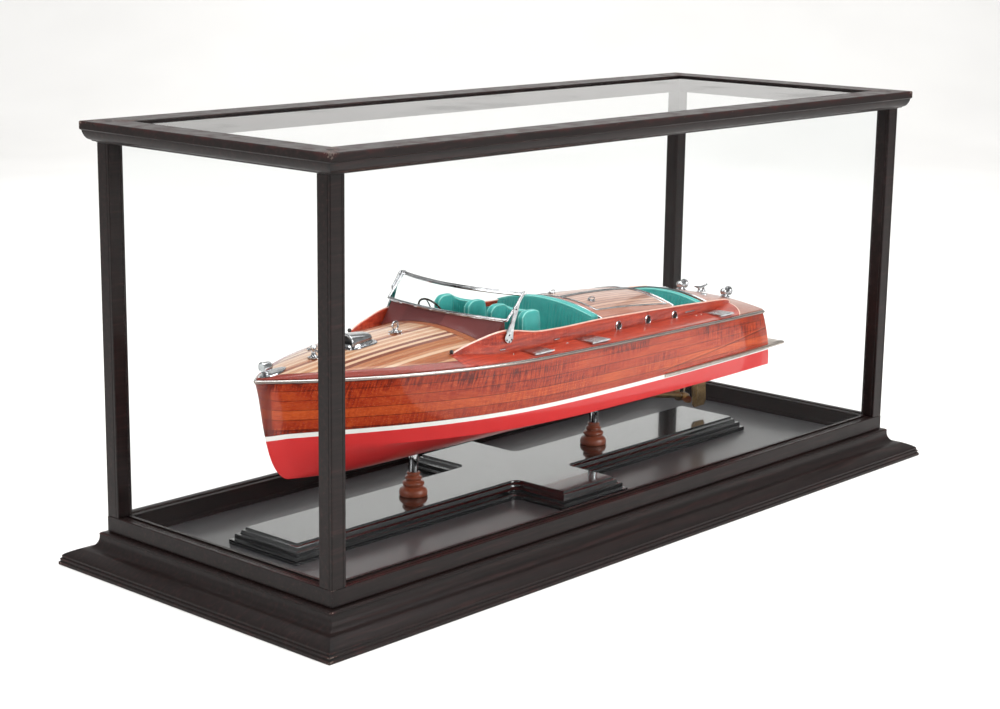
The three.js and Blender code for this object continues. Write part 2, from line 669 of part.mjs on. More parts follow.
function buildWindshield() {
  const rowOf = (s, inset) => {
    const half = lerp(SHIELD.baseHalf, SHIELD.topHalf, s) - inset;
    return steps(-half, half, 10).map((y) => shieldPoint(s, y));
  };
  const bars = [rail(rowOf(0, 0), 1.6, 12), rail(rowOf(1, 0), 1.6, 12)];
  for (const s of [-1, 1]) {
    bars.push(bar(shieldPoint(0, s * SHIELD.baseHalf), shieldPoint(1, s * SHIELD.topHalf), 1.6, 8));
  }
  add("windshield_frame", join(...bars), CHROME);
  const rows = steps(0.085, 0.915, 2).map((s) => rowOf(s, 2.4));
  const face = (shift) => rows.map((row) => row.map(([x, y, z]) => [x + shift, y, z]));
  add("windshield_glass", plate(face(0.8), face(-0.8)), GLASS);

  // The raked cowl panel between foredeck and windshield, with the dash on its after face.
  const ys = steps(-82.4, 82.4, 12);
  const lowX = (y) => 157 - 5 * (y / 86) ** 2;
  const topX = (y) => bowed(SHIELD.baseX, SHIELD.baseHalf, SHIELD_BOW.base, y);
  const top = SHIELD.baseZ - 2.2;
  const front = ys.map((y) => [
    [topX(y), y, top],
    [lowX(y), y, deckZ(lowX(y), y) + GAP],
    [lowX(y) - 3, y, deckZ(lowX(y), y) + GAP],
  ]);
  const dashX = (y) => topX(y) - 4;
  const back = ys.map((y) => [
    [dashX(y), y, top],
    [dashX(y) - 1, y, top - 14],
    [dashX(y) - 2, y, 206],
  ]);
  const wide = (x) => [-coamingHalf(x), coamingHalf(x)];
  const clearDeck = deckPlate([COCKPIT.fore - GAP, 165, 180], wide, 10, (x, y) => deckZ(x, y) + GAP, 40);
  add("cowl_panel", cut(plate(front, back), clearDeck), PLUM);

  // Each side bracket: a teardrop foot on the coaming and an arm leaning back to the top rail.
  const [fx, fz, tx, tz] = [133, 228, 114.5, 273];
  const outline = new THREE.Shape();
  outline.absarc(fx, fz, 6.6, rad(155), rad(385), false);
  outline.lineTo(125.5, 256);
  outline.lineTo(tx + 2.6, tz + 1);
  outline.lineTo(tx - 1, tz + 2);
  outline.lineTo(tx - 2.2, tz - 1);
  outline.lineTo(120, 252);
  const arm = sidePrism(outline, 0, 1.8, 8);
  arm.applyMatrix4(new THREE.Matrix4().set(1, 0, 0, 0, 0, 1, 0.062, -0.062 * fz, 0, 0, 1, 0, 0, 0, 0, 1));
  arm.translate(0, coamingHalf(fx) + COAMING_THICK / 2 + GAP + 0.9, 0);
  add("windshield_bracket_port", arm, CHROME);
  add("windshield_bracket_starboard", mirrored(arm), CHROME);
}

function buildWheel() {
  const hub = new THREE.Vector3(WHEEL.x, WHEEL.y, WHEEL.z);
  const axis = new THREE.Vector3(-Math.cos(rad(WHEEL.rake)), 0, Math.sin(rad(WHEEL.rake)));
  const at = (d) => hub.clone().addScaledVector(axis, d).toArray();
  add("steering_column", bar(at(-13.4), at(-2.4), 2, 10), CHROME);
  const rim = new THREE.TorusGeometry(WHEEL.radius, 1.2, 6, 26);
  const boss = new THREE.CylinderGeometry(3, 3, 3.4, 12).rotateX(Math.PI / 2);
  const spokes = [90, 210, 330].map((a) => {
    const [c, s] = [Math.cos(rad(a)), Math.sin(rad(a))];
    return bar([0, 0, 0], [c * WHEEL.radius, s * WHEEL.radius, 0], 0.8, 6);
  });
  const turn = new THREE.Quaternion().setFromUnitVectors(new THREE.Vector3(0, 0, 1), axis);
  const wheel = join(rim, boss, ...spokes).applyQuaternion(turn);
  add("steering_wheel", wheel.translate(...hub.toArray()), BLACK_PLASTIC);
}

// ---- cockpits and seats ----
// The hold's half-breadth at a height, found on the port side.
function holdHalf(x, z) {
  const t = (x - HULL.transom) / (HULL.bow - HULL.transom);
  const points = steps(0, 2, 40).map((v) => hullPoint(t, v, HULL.wall));
  return points.find((p) => p[2] >= z)?.[1] ?? 90;
}

function solePanel(from, to, z) {
  const xs = steps(from, to, 4);
  const edge = (x) => Math.min(holdHalf(x, z - 4), holdHalf(x + 8, z - 4)) - 2.5;
  const outline = [...xs.map((x) => [x, edge(x)]), ...xs.reverse().map((x) => [x, -edge(x)])];
  return prism(outline, z - 3, z);
}

function buildCockpits() {
  add("front_sole", solePanel(COCKPIT.aft + 1, 146, COCKPIT.sole), PLY);
  add("rear_sole", solePanel(COCKPIT.rearAft + 1, COCKPIT.rearFore - 1, COCKPIT.rearSole), PLY);

  // A bucket seat: a cushion on a plinth with a back that wraps round to its sides.
  const bucket = () => {
    const plan = (inner, front) => {
      const [back, half] = [48 + inner, 27 - inner];
      const s = new THREE.Shape();
      s.moveTo(front, half);
      s.lineTo(back + 20, half);
      s.absellipse(back + 20, 0, 20, half, Math.PI / 2, (3 * Math.PI) / 2, false);
      s.lineTo(front, -half);
      return s;
    };
    const shell = prism(plan(0, 86), COCKPIT.sole + GAP, 243, 8);
    const hollow = prism(plan(9, 110), 192, 260, 8);
    const slope = sidePrism([[40, 250], [62, 243], [88, 205], [120, 205], [120, 260], [40, 260]], -60, 60);
    return cut(shell, hollow, slope);
  };
  add("front_seat_port", bucket().translate(0, 40, 0), TEAL);
  add("front_seat_starboard", bucket().translate(0, -40, 0), TEAL);

  // The bench: a cushion across the boat and a back whose top follows the deck's camber.
  const seat = box(-26, 24, -70, 70, COCKPIT.sole + GAP, 182);
  const ys = steps(-72, 72, 12);
  const topOf = (y) => deckZ(-30, y) + 5;
  const face = (x, lean) =>
    ys.map((y) => {
      const pull = 7 * (y / 72) ** 2;
      return [
        [x - lean - pull, y, topOf(y)],
        [x - pull / 2, y, COCKPIT.sole + 20],
      ];
    });
  add("bench_seat", join(seat, plate(face(-14, 6), face(-24, 10))), TEAL);

  // The rear seat: a cushion and a low back against the stern deck.
  const low = box(-238, -192, -56, 56, COCKPIT.rearSole + GAP, 184);
  const rearTop = (y) => deckZ(-250, y) - 2;
  const rear = (x, lean) =>
    steps(-56, 56, 8).map((y) => [
      [x - lean, y, rearTop(y)],
      [x, y, COCKPIT.rearSole + 16],
    ]);
  add("rear_seat", join(low, plate(rear(-234, 8), rear(-243, 10))), TEAL);
}

// ---- deck fittings ----
function buildFittings() {
  const deckAt = (x, y = 0) => deckZ(x, y) + GAP;
  // The bow light: a lamp on a pointed plate that wraps the stem head.
  const lampX = 394;
  const lamp = bar([lampX - 6, 0, deckAt(lampX) + 8.4], [lampX + 7, 0, deckAt(lampX) + 7.4], 5.4, 14);
  const post = bar([lampX, 0, deckAt(lampX) + 1], [lampX, 0, deckAt(lampX) + 8], 2.6, 10);
  const plateXs = [366, 376, 386, 394, 402];
  const spread = (x) => 1 + 9 * Math.max(0, 1 - Math.abs(x - 386) / 20) * 0.8;
  const top = plateXs.map((x) => steps(-spread(x), spread(x), 4).map((y) => [x, y, deckZ(x, y) + 2.2]));
  const low = plateXs.map((x) => steps(-spread(x), spread(x), 4).map((y) => [x, y, deckZ(x, y) + 0.9]));
  add("bow_light", join(plate(top, low), post, lamp), CHROME);

  // The large air scoop, its mouth facing forward, on a flange that follows the deck.
  const scoop = (grow, xs, lift) =>
    loft(
      xs.map((x, i) => {
        const half = [9, 12, 13][i] - grow;
        const floor = deckZ(x, 0) + lift;
        const top = [238, 240, 240.4][i] - grow;
        const shoulder = lerp(floor, top, 0.55);
        return [
          [x, half, floor],
          [x, half, shoulder],
          [x, half * 0.6, top],
          [x, -half * 0.6, top],
          [x, -half, shoulder],
          [x, -half, floor],
        ];
      }),
    );
  const flange = deckPlate([250, 268, 288], () => [-15, 15], 4, (x, y) => deckZ(x, y) + GAP + 3.8);
  const mouth = scoop(1.6, [262, 276, 291], 4.6);
  add("deck_vent", cut(join(flange, scoop(0, [253, 268, 284], 3)), mouth), CHROME);

  const ringX = 212;
  const ring = new THREE.TorusGeometry(4.4, 1.1, 8, 18).translate(ringX, deckAt(ringX) + 6.2, 0).rotateX(Math.PI / 2);
  const stem = bar([ringX, 0, deckAt(ringX)], [ringX, 0, deckAt(ringX) + 2.6], 2.6, 12, 1.6);
  add("lifting_ring", join(ring, stem), CHROME);

  // Stern: two cowl vents and a cleat between them.
  const ventX = -322;
  for (const [side, s] of [["port", 1], ["starboard", -1]]) {
    const y = 36 * s;
    const z = deckZ(ventX, 36) + 0.9;
    const neck = bar([ventX, y, z], [ventX, y, z + 7], 4.2, 14, 3.4);
    const cowl = bar([ventX + 6, y, z + 8.6], [ventX - 7, y, z + 8.6], 5.2, 14, 4);
    add("stern_vent_" + side, join(neck, cowl), CHROME);
  }
  const cleatZ = deckAt(-318);
  const feet = [-322, -314].map((x) => bar([x, 0, deckAt(x) + 0.5], [x, 0, cleatZ + 6], 1.6, 8));
  const horns = rail([[-330, 0, cleatZ + 8.6], [-318, 0, cleatZ + 5.8], [-306, 0, cleatZ + 8.6]], 1.6, 6, 8);
  add("stern_cleat", join(...feet, horns), CHROME);
}

// ---- running gear and radio gear ----
function shaftPoint(x, lift = 0) {
  return [x, 0, SHAFT.z + (x - SHAFT.x) * Math.tan(rad(SHAFT.slope)) + lift];
}

function buildDrive() {
  const bore = SHAFT.radius + 0.5;
  const tubeEnd = SHAFT.x + PROP.length / 2 + 3;
  const tube = bar(shaftPoint(-112), shaftPoint(tubeEnd), SHAFT.tubeRadius, 14);
  const [strutAft, strutFore] = [tubeEnd + 1, tubeEnd + 13];
  const strutPlan = [[strutFore, 1.6], [strutAft, 1.6], [strutAft, -1.6], [strutFore, -1.6]];
  const strut = prism(strutPlan, SHAFT.z + 2, keelZ(tubeEnd) - GAP);
  add("stern_tube", cut(join(tube, strut), bar(shaftPoint(-90), shaftPoint(-300), bore, 14)), BRASS);
  const end = SHAFT.x - PROP.length / 2;
  add("prop_shaft", bar(shaftPoint(SHAFT.front), shaftPoint(end - 4), SHAFT.radius, 12), CHROME);

  // A three-bladed propeller: each blade is a twisted plate out of the hub.
  const hub = bar([-PROP.length / 2, 0, 0], [PROP.length / 2, 0, 0], PROP.hub, 14);
  const blade = (turn) => {
    const rows = steps(PROP.hub - 1, PROP.radius, 3).map((r) => {
      const pitch = Math.atan2(9, r);
      const wide = 5.2 * Math.sin(Math.PI * clamp(r / (PROP.radius * 1.16), 0, 1));
      return steps(-1, 1, 3).map((c) => {
        const chord = c * wide;
        return [chord * Math.sin(pitch), chord * Math.cos(pitch), r];
      });
    });
    const shift = (d) => rows.map((row) => row.map(([x, y, z]) => [x + d, y + d * 0.3, z]));
    return plate(shift(0.5), shift(-0.5)).rotateX(rad(turn));
  };
  const propeller = cut(join(hub, blade(0), blade(120), blade(240)), bar([-9, 0, 0], [9, 0, 0], SHAFT.radius + GAP, 12));
  propeller.rotateY(-rad(SHAFT.slope)).translate(...shaftPoint(SHAFT.x));
  add("propeller", propeller, BRASS);

  // The motor in its bracket, coupled to the front of the shaft.
  const can = bar(shaftPoint(-92), shaftPoint(-42), 14, 20);
  const nose = bar(shaftPoint(-98), shaftPoint(-90), 4, 12);
  const face = box(-96, -92, -16, 16, 104, 126);
  const foot = box(-96, -60, -12, 12, 102.6, 105);
  const motor = cut(join(can, nose, face, foot), bar(shaftPoint(-104), shaftPoint(-93), SHAFT.radius + GAP, 12));
  add("motor", motor, BLACK_PLASTIC);
  add("battery", box(-165, -62, -70, -34, 123, 147), BLUE_WRAP);
  add("receiver", box(-128, -84, 36, 62, 121, 135), BLACK_PLASTIC);

  // Steering: servo, horn, pushrod and tiller make a parallelogram seen from above.
  const body = box(SERVO.x - 12, SERVO.x + 28, -10, 10, 104, SERVO.bodyTop);
  const boss = bar([SERVO.x, 0, SERVO.bodyTop - 1], [SERVO.x, 0, SERVO.hornZ - GAP], 3, 12);
  add("servo", join(body, boss), BLACK_PLASTIC);
  const arm = (x, hole) => {
    const blank = [[x - 4, -4], [x + 4, -4], [x + 3, SERVO.arm + 3], [x - 3, SERVO.arm + 3]];
    const bores = [bar([x, SERVO.arm, 120], [x, SERVO.arm, 140], 1.4, 10)];
    if (hole) bores.push(bar([x, 0, 120], [x, 0, 140], hole, 12));
    return cut(prism(blank, SERVO.hornZ, SERVO.hornZ + 2.4), ...bores);
  };
  add("servo_horn", arm(SERVO.x, 0), BLACK_PLASTIC);
  add("tiller", arm(RUDDER.x, RUDDER.stock + GAP), BRASS);
  const rodZ = SERVO.hornZ + 4.2;
  const pins = [SERVO.x, RUDDER.x].map((x) => bar([x, SERVO.arm, SERVO.hornZ + 0.2], [x, SERVO.arm, rodZ], 0.9, 8));
  add("pushrod", join(bar([SERVO.x + 2, SERVO.arm, rodZ], [RUDDER.x - 2, SERVO.arm, rodZ], 0.9, 8), ...pins), CHROME);

  const stock = bar([RUDDER.x, 0, RUDDER.bottom + 6], [RUDDER.x, 0, SERVO.hornZ + 5], RUDDER.stock, 12);
  const low = keelZ(RUDDER.x) - 2;
  const back = RUDDER.x - RUDDER.chord * 0.7;
  const front = RUDDER.x + RUDDER.chord * 0.3;
  const outline = [[front, low], [front - 2, RUDDER.bottom + 4], [front - 5, RUDDER.bottom], [back + 4, RUDDER.bottom]];
  outline.push([back, RUDDER.bottom + 6], [back + 2, low]);
  add("rudder", join(stock, sidePrism(outline, -1.2, 1.2)), BRASS);
}

buildBase();
buildHood();
buildStand();
buildHull();
buildDecks();
buildRails();
buildWindshield();
buildWheel();
buildCockpits();
buildFittings();
buildDrive();

export default root;
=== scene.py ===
# A mahogany runabout model on its stand in a glazed display case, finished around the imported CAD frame.
import bmesh
import bpy
import numpy as np
from mathutils import Matrix, Vector


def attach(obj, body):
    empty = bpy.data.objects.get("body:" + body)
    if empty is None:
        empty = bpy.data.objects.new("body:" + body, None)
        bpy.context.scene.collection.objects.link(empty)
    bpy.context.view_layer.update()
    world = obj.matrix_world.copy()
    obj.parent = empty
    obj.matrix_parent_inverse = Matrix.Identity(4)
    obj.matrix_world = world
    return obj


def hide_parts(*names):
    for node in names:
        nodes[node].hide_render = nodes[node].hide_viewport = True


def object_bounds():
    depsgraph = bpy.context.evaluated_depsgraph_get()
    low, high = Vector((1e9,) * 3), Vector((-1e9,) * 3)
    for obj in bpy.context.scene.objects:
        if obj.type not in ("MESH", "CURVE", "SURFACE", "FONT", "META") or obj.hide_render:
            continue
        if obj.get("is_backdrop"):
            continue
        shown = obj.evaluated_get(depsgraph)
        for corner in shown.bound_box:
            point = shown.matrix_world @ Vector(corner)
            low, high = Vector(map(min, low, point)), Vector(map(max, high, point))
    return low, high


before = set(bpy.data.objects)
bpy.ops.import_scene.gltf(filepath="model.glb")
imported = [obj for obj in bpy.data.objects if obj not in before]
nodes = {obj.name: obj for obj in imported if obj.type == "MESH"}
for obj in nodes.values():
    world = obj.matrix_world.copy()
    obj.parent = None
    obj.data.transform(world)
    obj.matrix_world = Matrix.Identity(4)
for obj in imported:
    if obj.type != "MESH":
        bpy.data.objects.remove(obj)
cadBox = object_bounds()

# camera and studio
view = {
    "position": (1.6755577, 1.4649656, 0.6678457),
    "right": (-0.67347044, 0.73909451, 0.01329943),
    "up": (-0.15081172, -0.1549896, 0.97633706),
    "lens": 72.475,
    "sensor": 36.0,
}


def placeCamera():
    data = bpy.data.cameras.new("viewCamera")
    data.lens = view["lens"]
    data.sensor_width = view["sensor"]
    data.clip_end = 50
    camera = bpy.data.objects.new("viewCamera", data)
    right, up = Vector(view["right"]), Vector(view["up"])
    back = right.cross(up)
    turn = Matrix((right, up, back)).transposed().to_4x4()
    camera.matrix_world = Matrix.Translation(view["position"]) @ turn
    bpy.context.scene.collection.objects.link(camera)
    bpy.context.scene.camera = camera


placeCamera()


# shader wiring
def tint(red, green, blue):
    # a screen colour, 0 to 255, as the linear colour that a shader takes
    c = np.array([red, green, blue]) / 255
    linear = np.where(c <= 0.04045, c / 12.92, ((c + 0.055) / 1.055) ** 2.4)
    return (*linear.tolist(), 1.0)


class Wire:
    # an output socket that takes arithmetic: each operator adds one Math node
    def __init__(self, finish, socket):
        self.finish = finish
        self.socket = socket

    def also(self, name):
        return Wire(self.finish, self.socket.node.outputs[name])

    def math(self, operation, *others):
        values = {i: v for i, v in enumerate((self, *others))}
        return self.finish.node("ShaderNodeMath", {"operation": operation}, values)

    def __add__(self, other):
        return self.math("ADD", other)

    def __radd__(self, other):
        return self.math("ADD", other)

    def __sub__(self, other):
        return self.math("SUBTRACT", other)

    def __rsub__(self, other):
        return self.finish.node("ShaderNodeMath", {"operation": "SUBTRACT"}, {0: other, 1: self})

    def __mul__(self, other):
        return self.math("MULTIPLY", other)

    def __rmul__(self, other):
        return self.math("MULTIPLY", other)

    def __truediv__(self, other):
        return self.math("DIVIDE", other)

    def __gt__(self, other):
        return self.math("GREATER_THAN", other)

    def __lt__(self, other):
        return self.math("LESS_THAN", other)

    def __abs__(self):
        return self.math("ABSOLUTE")

    def step(self, low, high):
        # 0 below low, 1 above high, a smooth S between
        settings = {"interpolation_type": "SMOOTHSTEP"}
        return self.finish.node("ShaderNodeMapRange", settings, {0: self, 1: low, 2: high, 3: 0.0, 4: 1.0})

    def band(self, centre, half, soft):
        # 1 within half of centre, fading to 0 over soft
        return 1 - abs(self - centre).step(half, half + soft)


class Finish:
    # one material: node() makes any node, the rest are short names for common ones
    def __init__(self, name):
        self.material = bpy.data.materials.new(name)
        self.material.use_nodes = True
        self.tree = self.material.node_tree
        self.tree.nodes.clear()
        place = self.node("ShaderNodeTexCoord").also("Object")
        self.mm = self.vector("SCALE", place, scale=1000.0)
        axes = self.node("ShaderNodeSeparateXYZ", {}, {0: self.mm})
        self.x, self.y, self.z = axes, axes.also("Y"), axes.also("Z")

    def node(self, kind, settings=None, inputs=None):
        made = self.tree.nodes.new(kind)
        for key, value in (settings or {}).items():
            if key == "stops":
                ramp = made.color_ramp.elements
                while len(ramp) < len(value):
                    ramp.new(0.5)
                for stop, (position, colour) in zip(ramp, value):
                    stop.position = position
                    stop.color = colour
            else:
                setattr(made, key, value)
        for key, value in (inputs or {}).items():
            if isinstance(value, Wire):
                self.tree.links.new(value.socket, made.inputs[key])
            else:
                made.inputs[key].default_value = value
        return Wire(self, made.outputs[0]) if made.outputs else made

    def vector(self, operation, a, b=None, scale=None):
        inputs = {0: a}
        if b is not None:
            inputs[1] = b
        if scale is not None:
            inputs["Scale"] = scale
        return self.node("ShaderNodeVectorMath", {"operation": operation}, inputs)

    def stretched(self, scale, shift=(0, 0, 0), turn=(0, 0, 0)):
        inputs = {0: self.mm, "Location": shift, "Rotation": turn, "Scale": scale}
        return self.node("ShaderNodeMapping", {}, inputs)

    def noise(self, place, scale=1.0, detail=4.0, rough=0.55):
        inputs = {"Vector": place, "Scale": scale, "Detail": detail, "Roughness": rough}
        return self.node("ShaderNodeTexNoise", {}, inputs)

    def chance(self, value):
        # one random number for each whole number
        return self.node("ShaderNodeTexWhiteNoise", {"noise_dimensions": "1D"}, {"W": value})

    def mark(self, name):
        return self.node("ShaderNodeAttribute", {"attribute_name": name}).also("Fac")

    def mix(self, factor, a, b):
        made = self.node("ShaderNodeMix", {"data_type": "RGBA"}, {0: factor, 6: a, 7: b})
        return Wire(self, made.socket.node.outputs[2])

    def ramp(self, value, *stops):
        return self.node("ShaderNodeValToRGB", {"stops": stops}, {0: value})

    def bump(self, height, strength, distance):
        inputs = {"Height": height, "Strength": strength, "Distance": distance}
        return self.node("ShaderNodeBump", {}, inputs)

    def surface(self, **inputs):
        # ends the material in a Principled shader; underscores stand for the spaces in socket names
        named = {key.replace("_", " "): value for key, value in inputs.items()}
        shader = self.node("ShaderNodeBsdfPrincipled", {}, named)
        self.node("ShaderNodeOutputMaterial", {}, {"Surface": shader})
        return self.material


boatSide = (0.0, -10.0, 0.0)  # the boat and its stand sit a little to starboard of the case's middle


# wood
def fibres(finish, along=0.012, across=0.45, seed=0.0):
    # long soft streaks that run fore and aft, 0 to 1
    warp = finish.noise(finish.stretched((0.01, 0.03, 0.03), (seed, 0, 0)), 1.0, 2.0)
    lifted = finish.vector("ADD", finish.stretched((along, across, across), (seed, seed, 0)),
        finish.vector("SCALE", warp.also("Color"), scale=2.5))
    return finish.noise(lifted, 1.0, 6.0, 0.62)


def pores(finish):
    # short dark dashes of open grain
    speck = finish.noise(finish.stretched((0.16, 2.6, 2.6)), 1.0, 2.0, 0.5)
    return speck.step(0.58, 0.7)


def fiddleback(finish, seed=0.0):
    # soft bars across the grain, as curly timber shows
    bars = finish.noise(finish.stretched((0.5, 0.05, 0.06), (seed, 3, 5)), 1.0, 1.0, 0.5)
    patches = finish.noise(finish.stretched((0.008, 0.02, 0.03), (seed, 1, 2)), 1.0, 1.0)
    return bars.step(0.3, 0.7) * patches.step(0.25, 0.65)


def varnished(finish, colour, grain, gloss=0.06, extra=None, coat=0.7):
    # a clear coat over wood whose pores show through as a faint ripple
    height = grain * 0.4 if extra is None else grain * 0.4 - extra
    orange = finish.noise(finish.mm, 0.12, 2.0)
    normal = finish.bump(height + orange * 0.6, 0.1, 0.0003)
    smear = finish.noise(finish.mm, 0.035, 4.0)
    return finish.surface(Base_Color=colour, Roughness=0.3 + smear * 0.16, Specular_IOR_Level=0.25,
        Coat_Weight=coat, Coat_Roughness=gloss, Coat_IOR=1.42, Normal=normal)


stripe = {"top": 148.13, "rise": 3.717 / 749.4, "aft": -345.0, "wide": 5.0}
hullPaint = {
    "dark": tint(96, 22, 8), "mid": tint(166, 50, 18), "light": tint(204, 88, 36), "stem": tint(96, 26, 16),
    "seam": tint(58, 14, 8), "white": tint(250, 248, 243), "red": tint(222, 56, 56),
}


def paintHull():
    finish = Finish("hullVarnish")
    lift = finish.mark("lift")
    rows = (lift - 1) * 7.0
    plank = rows.math("FLOOR")
    edge = abs(rows - plank - 0.5).step(0.45, 0.48)
    tone = finish.chance(plank + 3.0)
    streak = fibres(finish, 0.011, 0.4)
    # the curly figure is strongest just under the sheer and in some of the planks
    curl = fiddleback(finish) * (finish.chance(plank + 21.0) * 0.6 + lift.step(1.6, 1.9) * 0.7 + 0.3)
    body = streak * 0.6 + tone * 0.36 - curl * 0.36 + 0.08
    wood = finish.ramp(body, (0.22, hullPaint["dark"]), (0.5, hullPaint["mid"]), (0.78, hullPaint["light"]))
    wood = finish.mix(pores(finish) * 0.35, wood, hullPaint["seam"])
    wood = finish.mix(edge * 0.7, wood, hullPaint["seam"])
    stem = (finish.x - finish.z * 0.16).step(361.0, 363.5)
    wood = finish.mix(stem * 0.7, wood, hullPaint["stem"])
    # two narrow lines climb from the spray strip to the transom: a pale one, and under it a dark band of
    # painted shade
    climb = finish.z - 156.0 + (finish.x + 120.0) * 0.075
    aft = 1 - finish.x.step(-118.0, -112.0)
    line = climb.band(0.0, 0.35, 0.4) * aft
    shade = climb.band(-1.6, 0.5, 0.8) * aft
    wood = finish.mix(line * 0.6, wood, hullPaint["light"])
    wood = finish.mix(shade * 0.5, wood, hullPaint["seam"])
    top = finish.z - (finish.x - stripe["aft"]) * stripe["rise"] - stripe["top"]
    wobble = finish.noise(finish.mm, 0.4, 2.0) * 0.16 - 0.08
    # the stripe and the bottom paint are only on the outside; the inside stays bare varnish
    outside = 1 - finish.mark("inside")
    below = (top + wobble).step(0.04, -0.04) * outside
    deep = (top + wobble + stripe["wide"]).step(0.04, -0.04) * outside
    dust = finish.noise(finish.mm, 0.08, 5.0)
    white = finish.mix(dust * 0.12, hullPaint["white"], tint(196, 190, 180))
    red = finish.mix(dust * 0.3, hullPaint["red"], tint(176, 24, 28))
    colour = finish.mix(below, wood, white)
    colour = finish.mix(deep, colour, red)
    height = (edge * -0.5 - pores(finish) * 0.4) * (1 - below) + below * 0.8 + line * 0.8 - shade
    normal = finish.bump(height + finish.noise(finish.mm, 0.1, 2.0) * 0.5, 0.1, 0.0004)
    rough = 0.3 + finish.noise(finish.mm, 0.03, 4.0) * 0.14
    return finish.surface(Base_Color=colour, Roughness=rough, Specular_IOR_Level=0.2, Coat_Weight=0.65,
        Coat_Roughness=0.035, Coat_IOR=1.42, Normal=normal)


deckPaint = {
    "pale": tint(204, 168, 138), "blonde": tint(180, 128, 92), "orange": tint(158, 88, 46),
    "brown": tint(116, 56, 34), "board": tint(146, 44, 26), "seam": tint(62, 28, 16), "plank": 4.7,
}


def paintDeck():
    # fore-and-aft planks of mixed tone, a reddish covering board at the sheer, a margin board by the cowl
    finish = Finish("foredeckVarnish")
    rows = finish.mark("across") / deckPaint["plank"]
    plank = rows.math("FLOOR")
    edge = abs(rows - plank - 0.5).step(0.44, 0.48)
    tone = finish.chance(plank + 11.0)
    streak = fibres(finish, 0.012, 0.8, 4.0)
    mixed = tone * 0.86 + streak * 0.4 - 0.12
    wood = finish.ramp(mixed, (0.12, deckPaint["brown"]), (0.3, deckPaint["orange"]),
        (0.46, deckPaint["blonde"]), (0.72, deckPaint["pale"]))
    wood = finish.mix(edge * 0.62, wood, deckPaint["seam"])
    board = finish.ramp(streak, (0.3, tint(112, 34, 20)), (0.7, deckPaint["board"]))
    margin = finish.ramp(streak, (0.3, tint(120, 58, 32)), (0.7, tint(176, 104, 60)))
    near = finish.mark("margin")
    atSheer = finish.mark("edge")
    wood = finish.mix(1 - near.step(9.6, 10.0), wood, margin)
    wood = finish.mix(near.band(9.9, 0.25, 0.25) * 0.8, wood, deckPaint["seam"])
    wood = finish.mix(1 - atSheer.step(10.4, 10.8), wood, board)
    wood = finish.mix(atSheer.band(10.8, 0.25, 0.25) * 0.8, wood, deckPaint["seam"])
    wood = finish.mix(pores(finish) * 0.3, wood, deckPaint["seam"])
    return varnished(finish, wood, pores(finish) * -1, 0.05, edge * 0.6)


def paintPlanked(name, dark, light, seam, width, seed, seamDepth=0.75, gloss=0.06, half=0.44, coat=0.7):
    # planks of one timber, side by side across the boat
    finish = Finish(name)
    rows = finish.y / width
    plank = rows.math("FLOOR")
    edge = abs(rows - plank - 0.5).step(half, half + 0.04)
    tone = finish.chance(plank + seed)
    streak = fibres(finish, 0.013, 0.7, seed)
    wood = finish.ramp(streak * 0.8 + tone * 0.36 - 0.08, (0.25, dark), (0.75, light))
    wood = finish.mix(pores(finish) * 0.3, wood, seam)
    wood = finish.mix(edge * seamDepth, wood, seam)
    return varnished(finish, wood, pores(finish) * -1, gloss, edge, coat)


def paintRed():
    finish = Finish("coamingVarnish")
    streak = fibres(finish, 0.012, 0.36, 9.0)
    curl = fiddleback(finish, 6.0)
    wood = finish.ramp(streak - curl * 0.14, (0.28, tint(130, 34, 20)), (0.52, tint(178, 60, 36)),
        (0.78, tint(212, 96, 60)))
    wood = finish.mix(pores(finish) * 0.35, wood, tint(70, 16, 10))
    # aft of the boards' rounded end the deck turns to paler brown, behind a pale line that curves forward;
    # that line is a painted highlight along the rounded edge
    paler = finish.ramp(streak, (0.3, tint(128, 78, 66)), (0.7, tint(170, 118, 100)))
    out = (abs(finish.y - boatSide[1]) - 62.0) / 33.0
    past = finish.x + 300.0 - out.math("MAXIMUM", 0.0).math("POWER", 2.0) * 24.0
    wood = finish.mix(past.step(0.4, -0.4), wood, paler)
    wood = finish.mix(past.band(0.0, 0.7, 0.5) * 0.85, wood, tint(236, 196, 178))
    return varnished(finish, wood, pores(finish) * -1, 0.05)


def paintEbony():
    # near-black stain with a faint red-brown figure, worn through to red along its edges
    finish = Finish("ebonyLacquer")
    streak = fibres(finish, 0.01, 0.24, 2.0)
    wood = finish.ramp(streak, (0.3, tint(14, 9, 8)), (0.55, tint(26, 16, 15)), (0.8, tint(50, 29, 27)))
    wear = finish.mark("wear")
    patch = finish.noise(finish.mm, 0.05, 5.0, 0.6)
    rub = (wear + (patch - 0.5) * 0.9).step(0.82, 1.25)
    wood = finish.mix(rub * 0.5, wood, tint(80, 34, 32))
    chip = (wear + (finish.noise(finish.mm, 0.45, 3.0) - 0.5) * 1.2).step(1.18, 1.3)
    wood = finish.mix(chip * 0.8, wood, tint(160, 140, 130))
    nick = finish.noise(finish.stretched((0.03, 0.5, 0.5), (7, 7, 7)), 1.0, 3.0)
    scratch = nick.step(0.72, 0.75)
    wood = finish.mix(scratch * 0.12, wood, tint(120, 100, 96))
    mitre = finish.mark("mitre")
    wood = finish.mix(mitre * 0.8, wood, tint(8, 6, 6))
    rough = 0.3 + patch * 0.2 + rub * 0.2
    fine = finish.noise(finish.stretched((0.06, 1.4, 1.4)), 1.0, 3.0)
    normal = finish.bump(fine - mitre * 2 - chip, 0.14, 0.0003)
    return finish.surface(Base_Color=wood, Roughness=rough, Specular_IOR_Level=0.16, Coat_Weight=0.1,
        Coat_Roughness=0.16, Normal=normal)


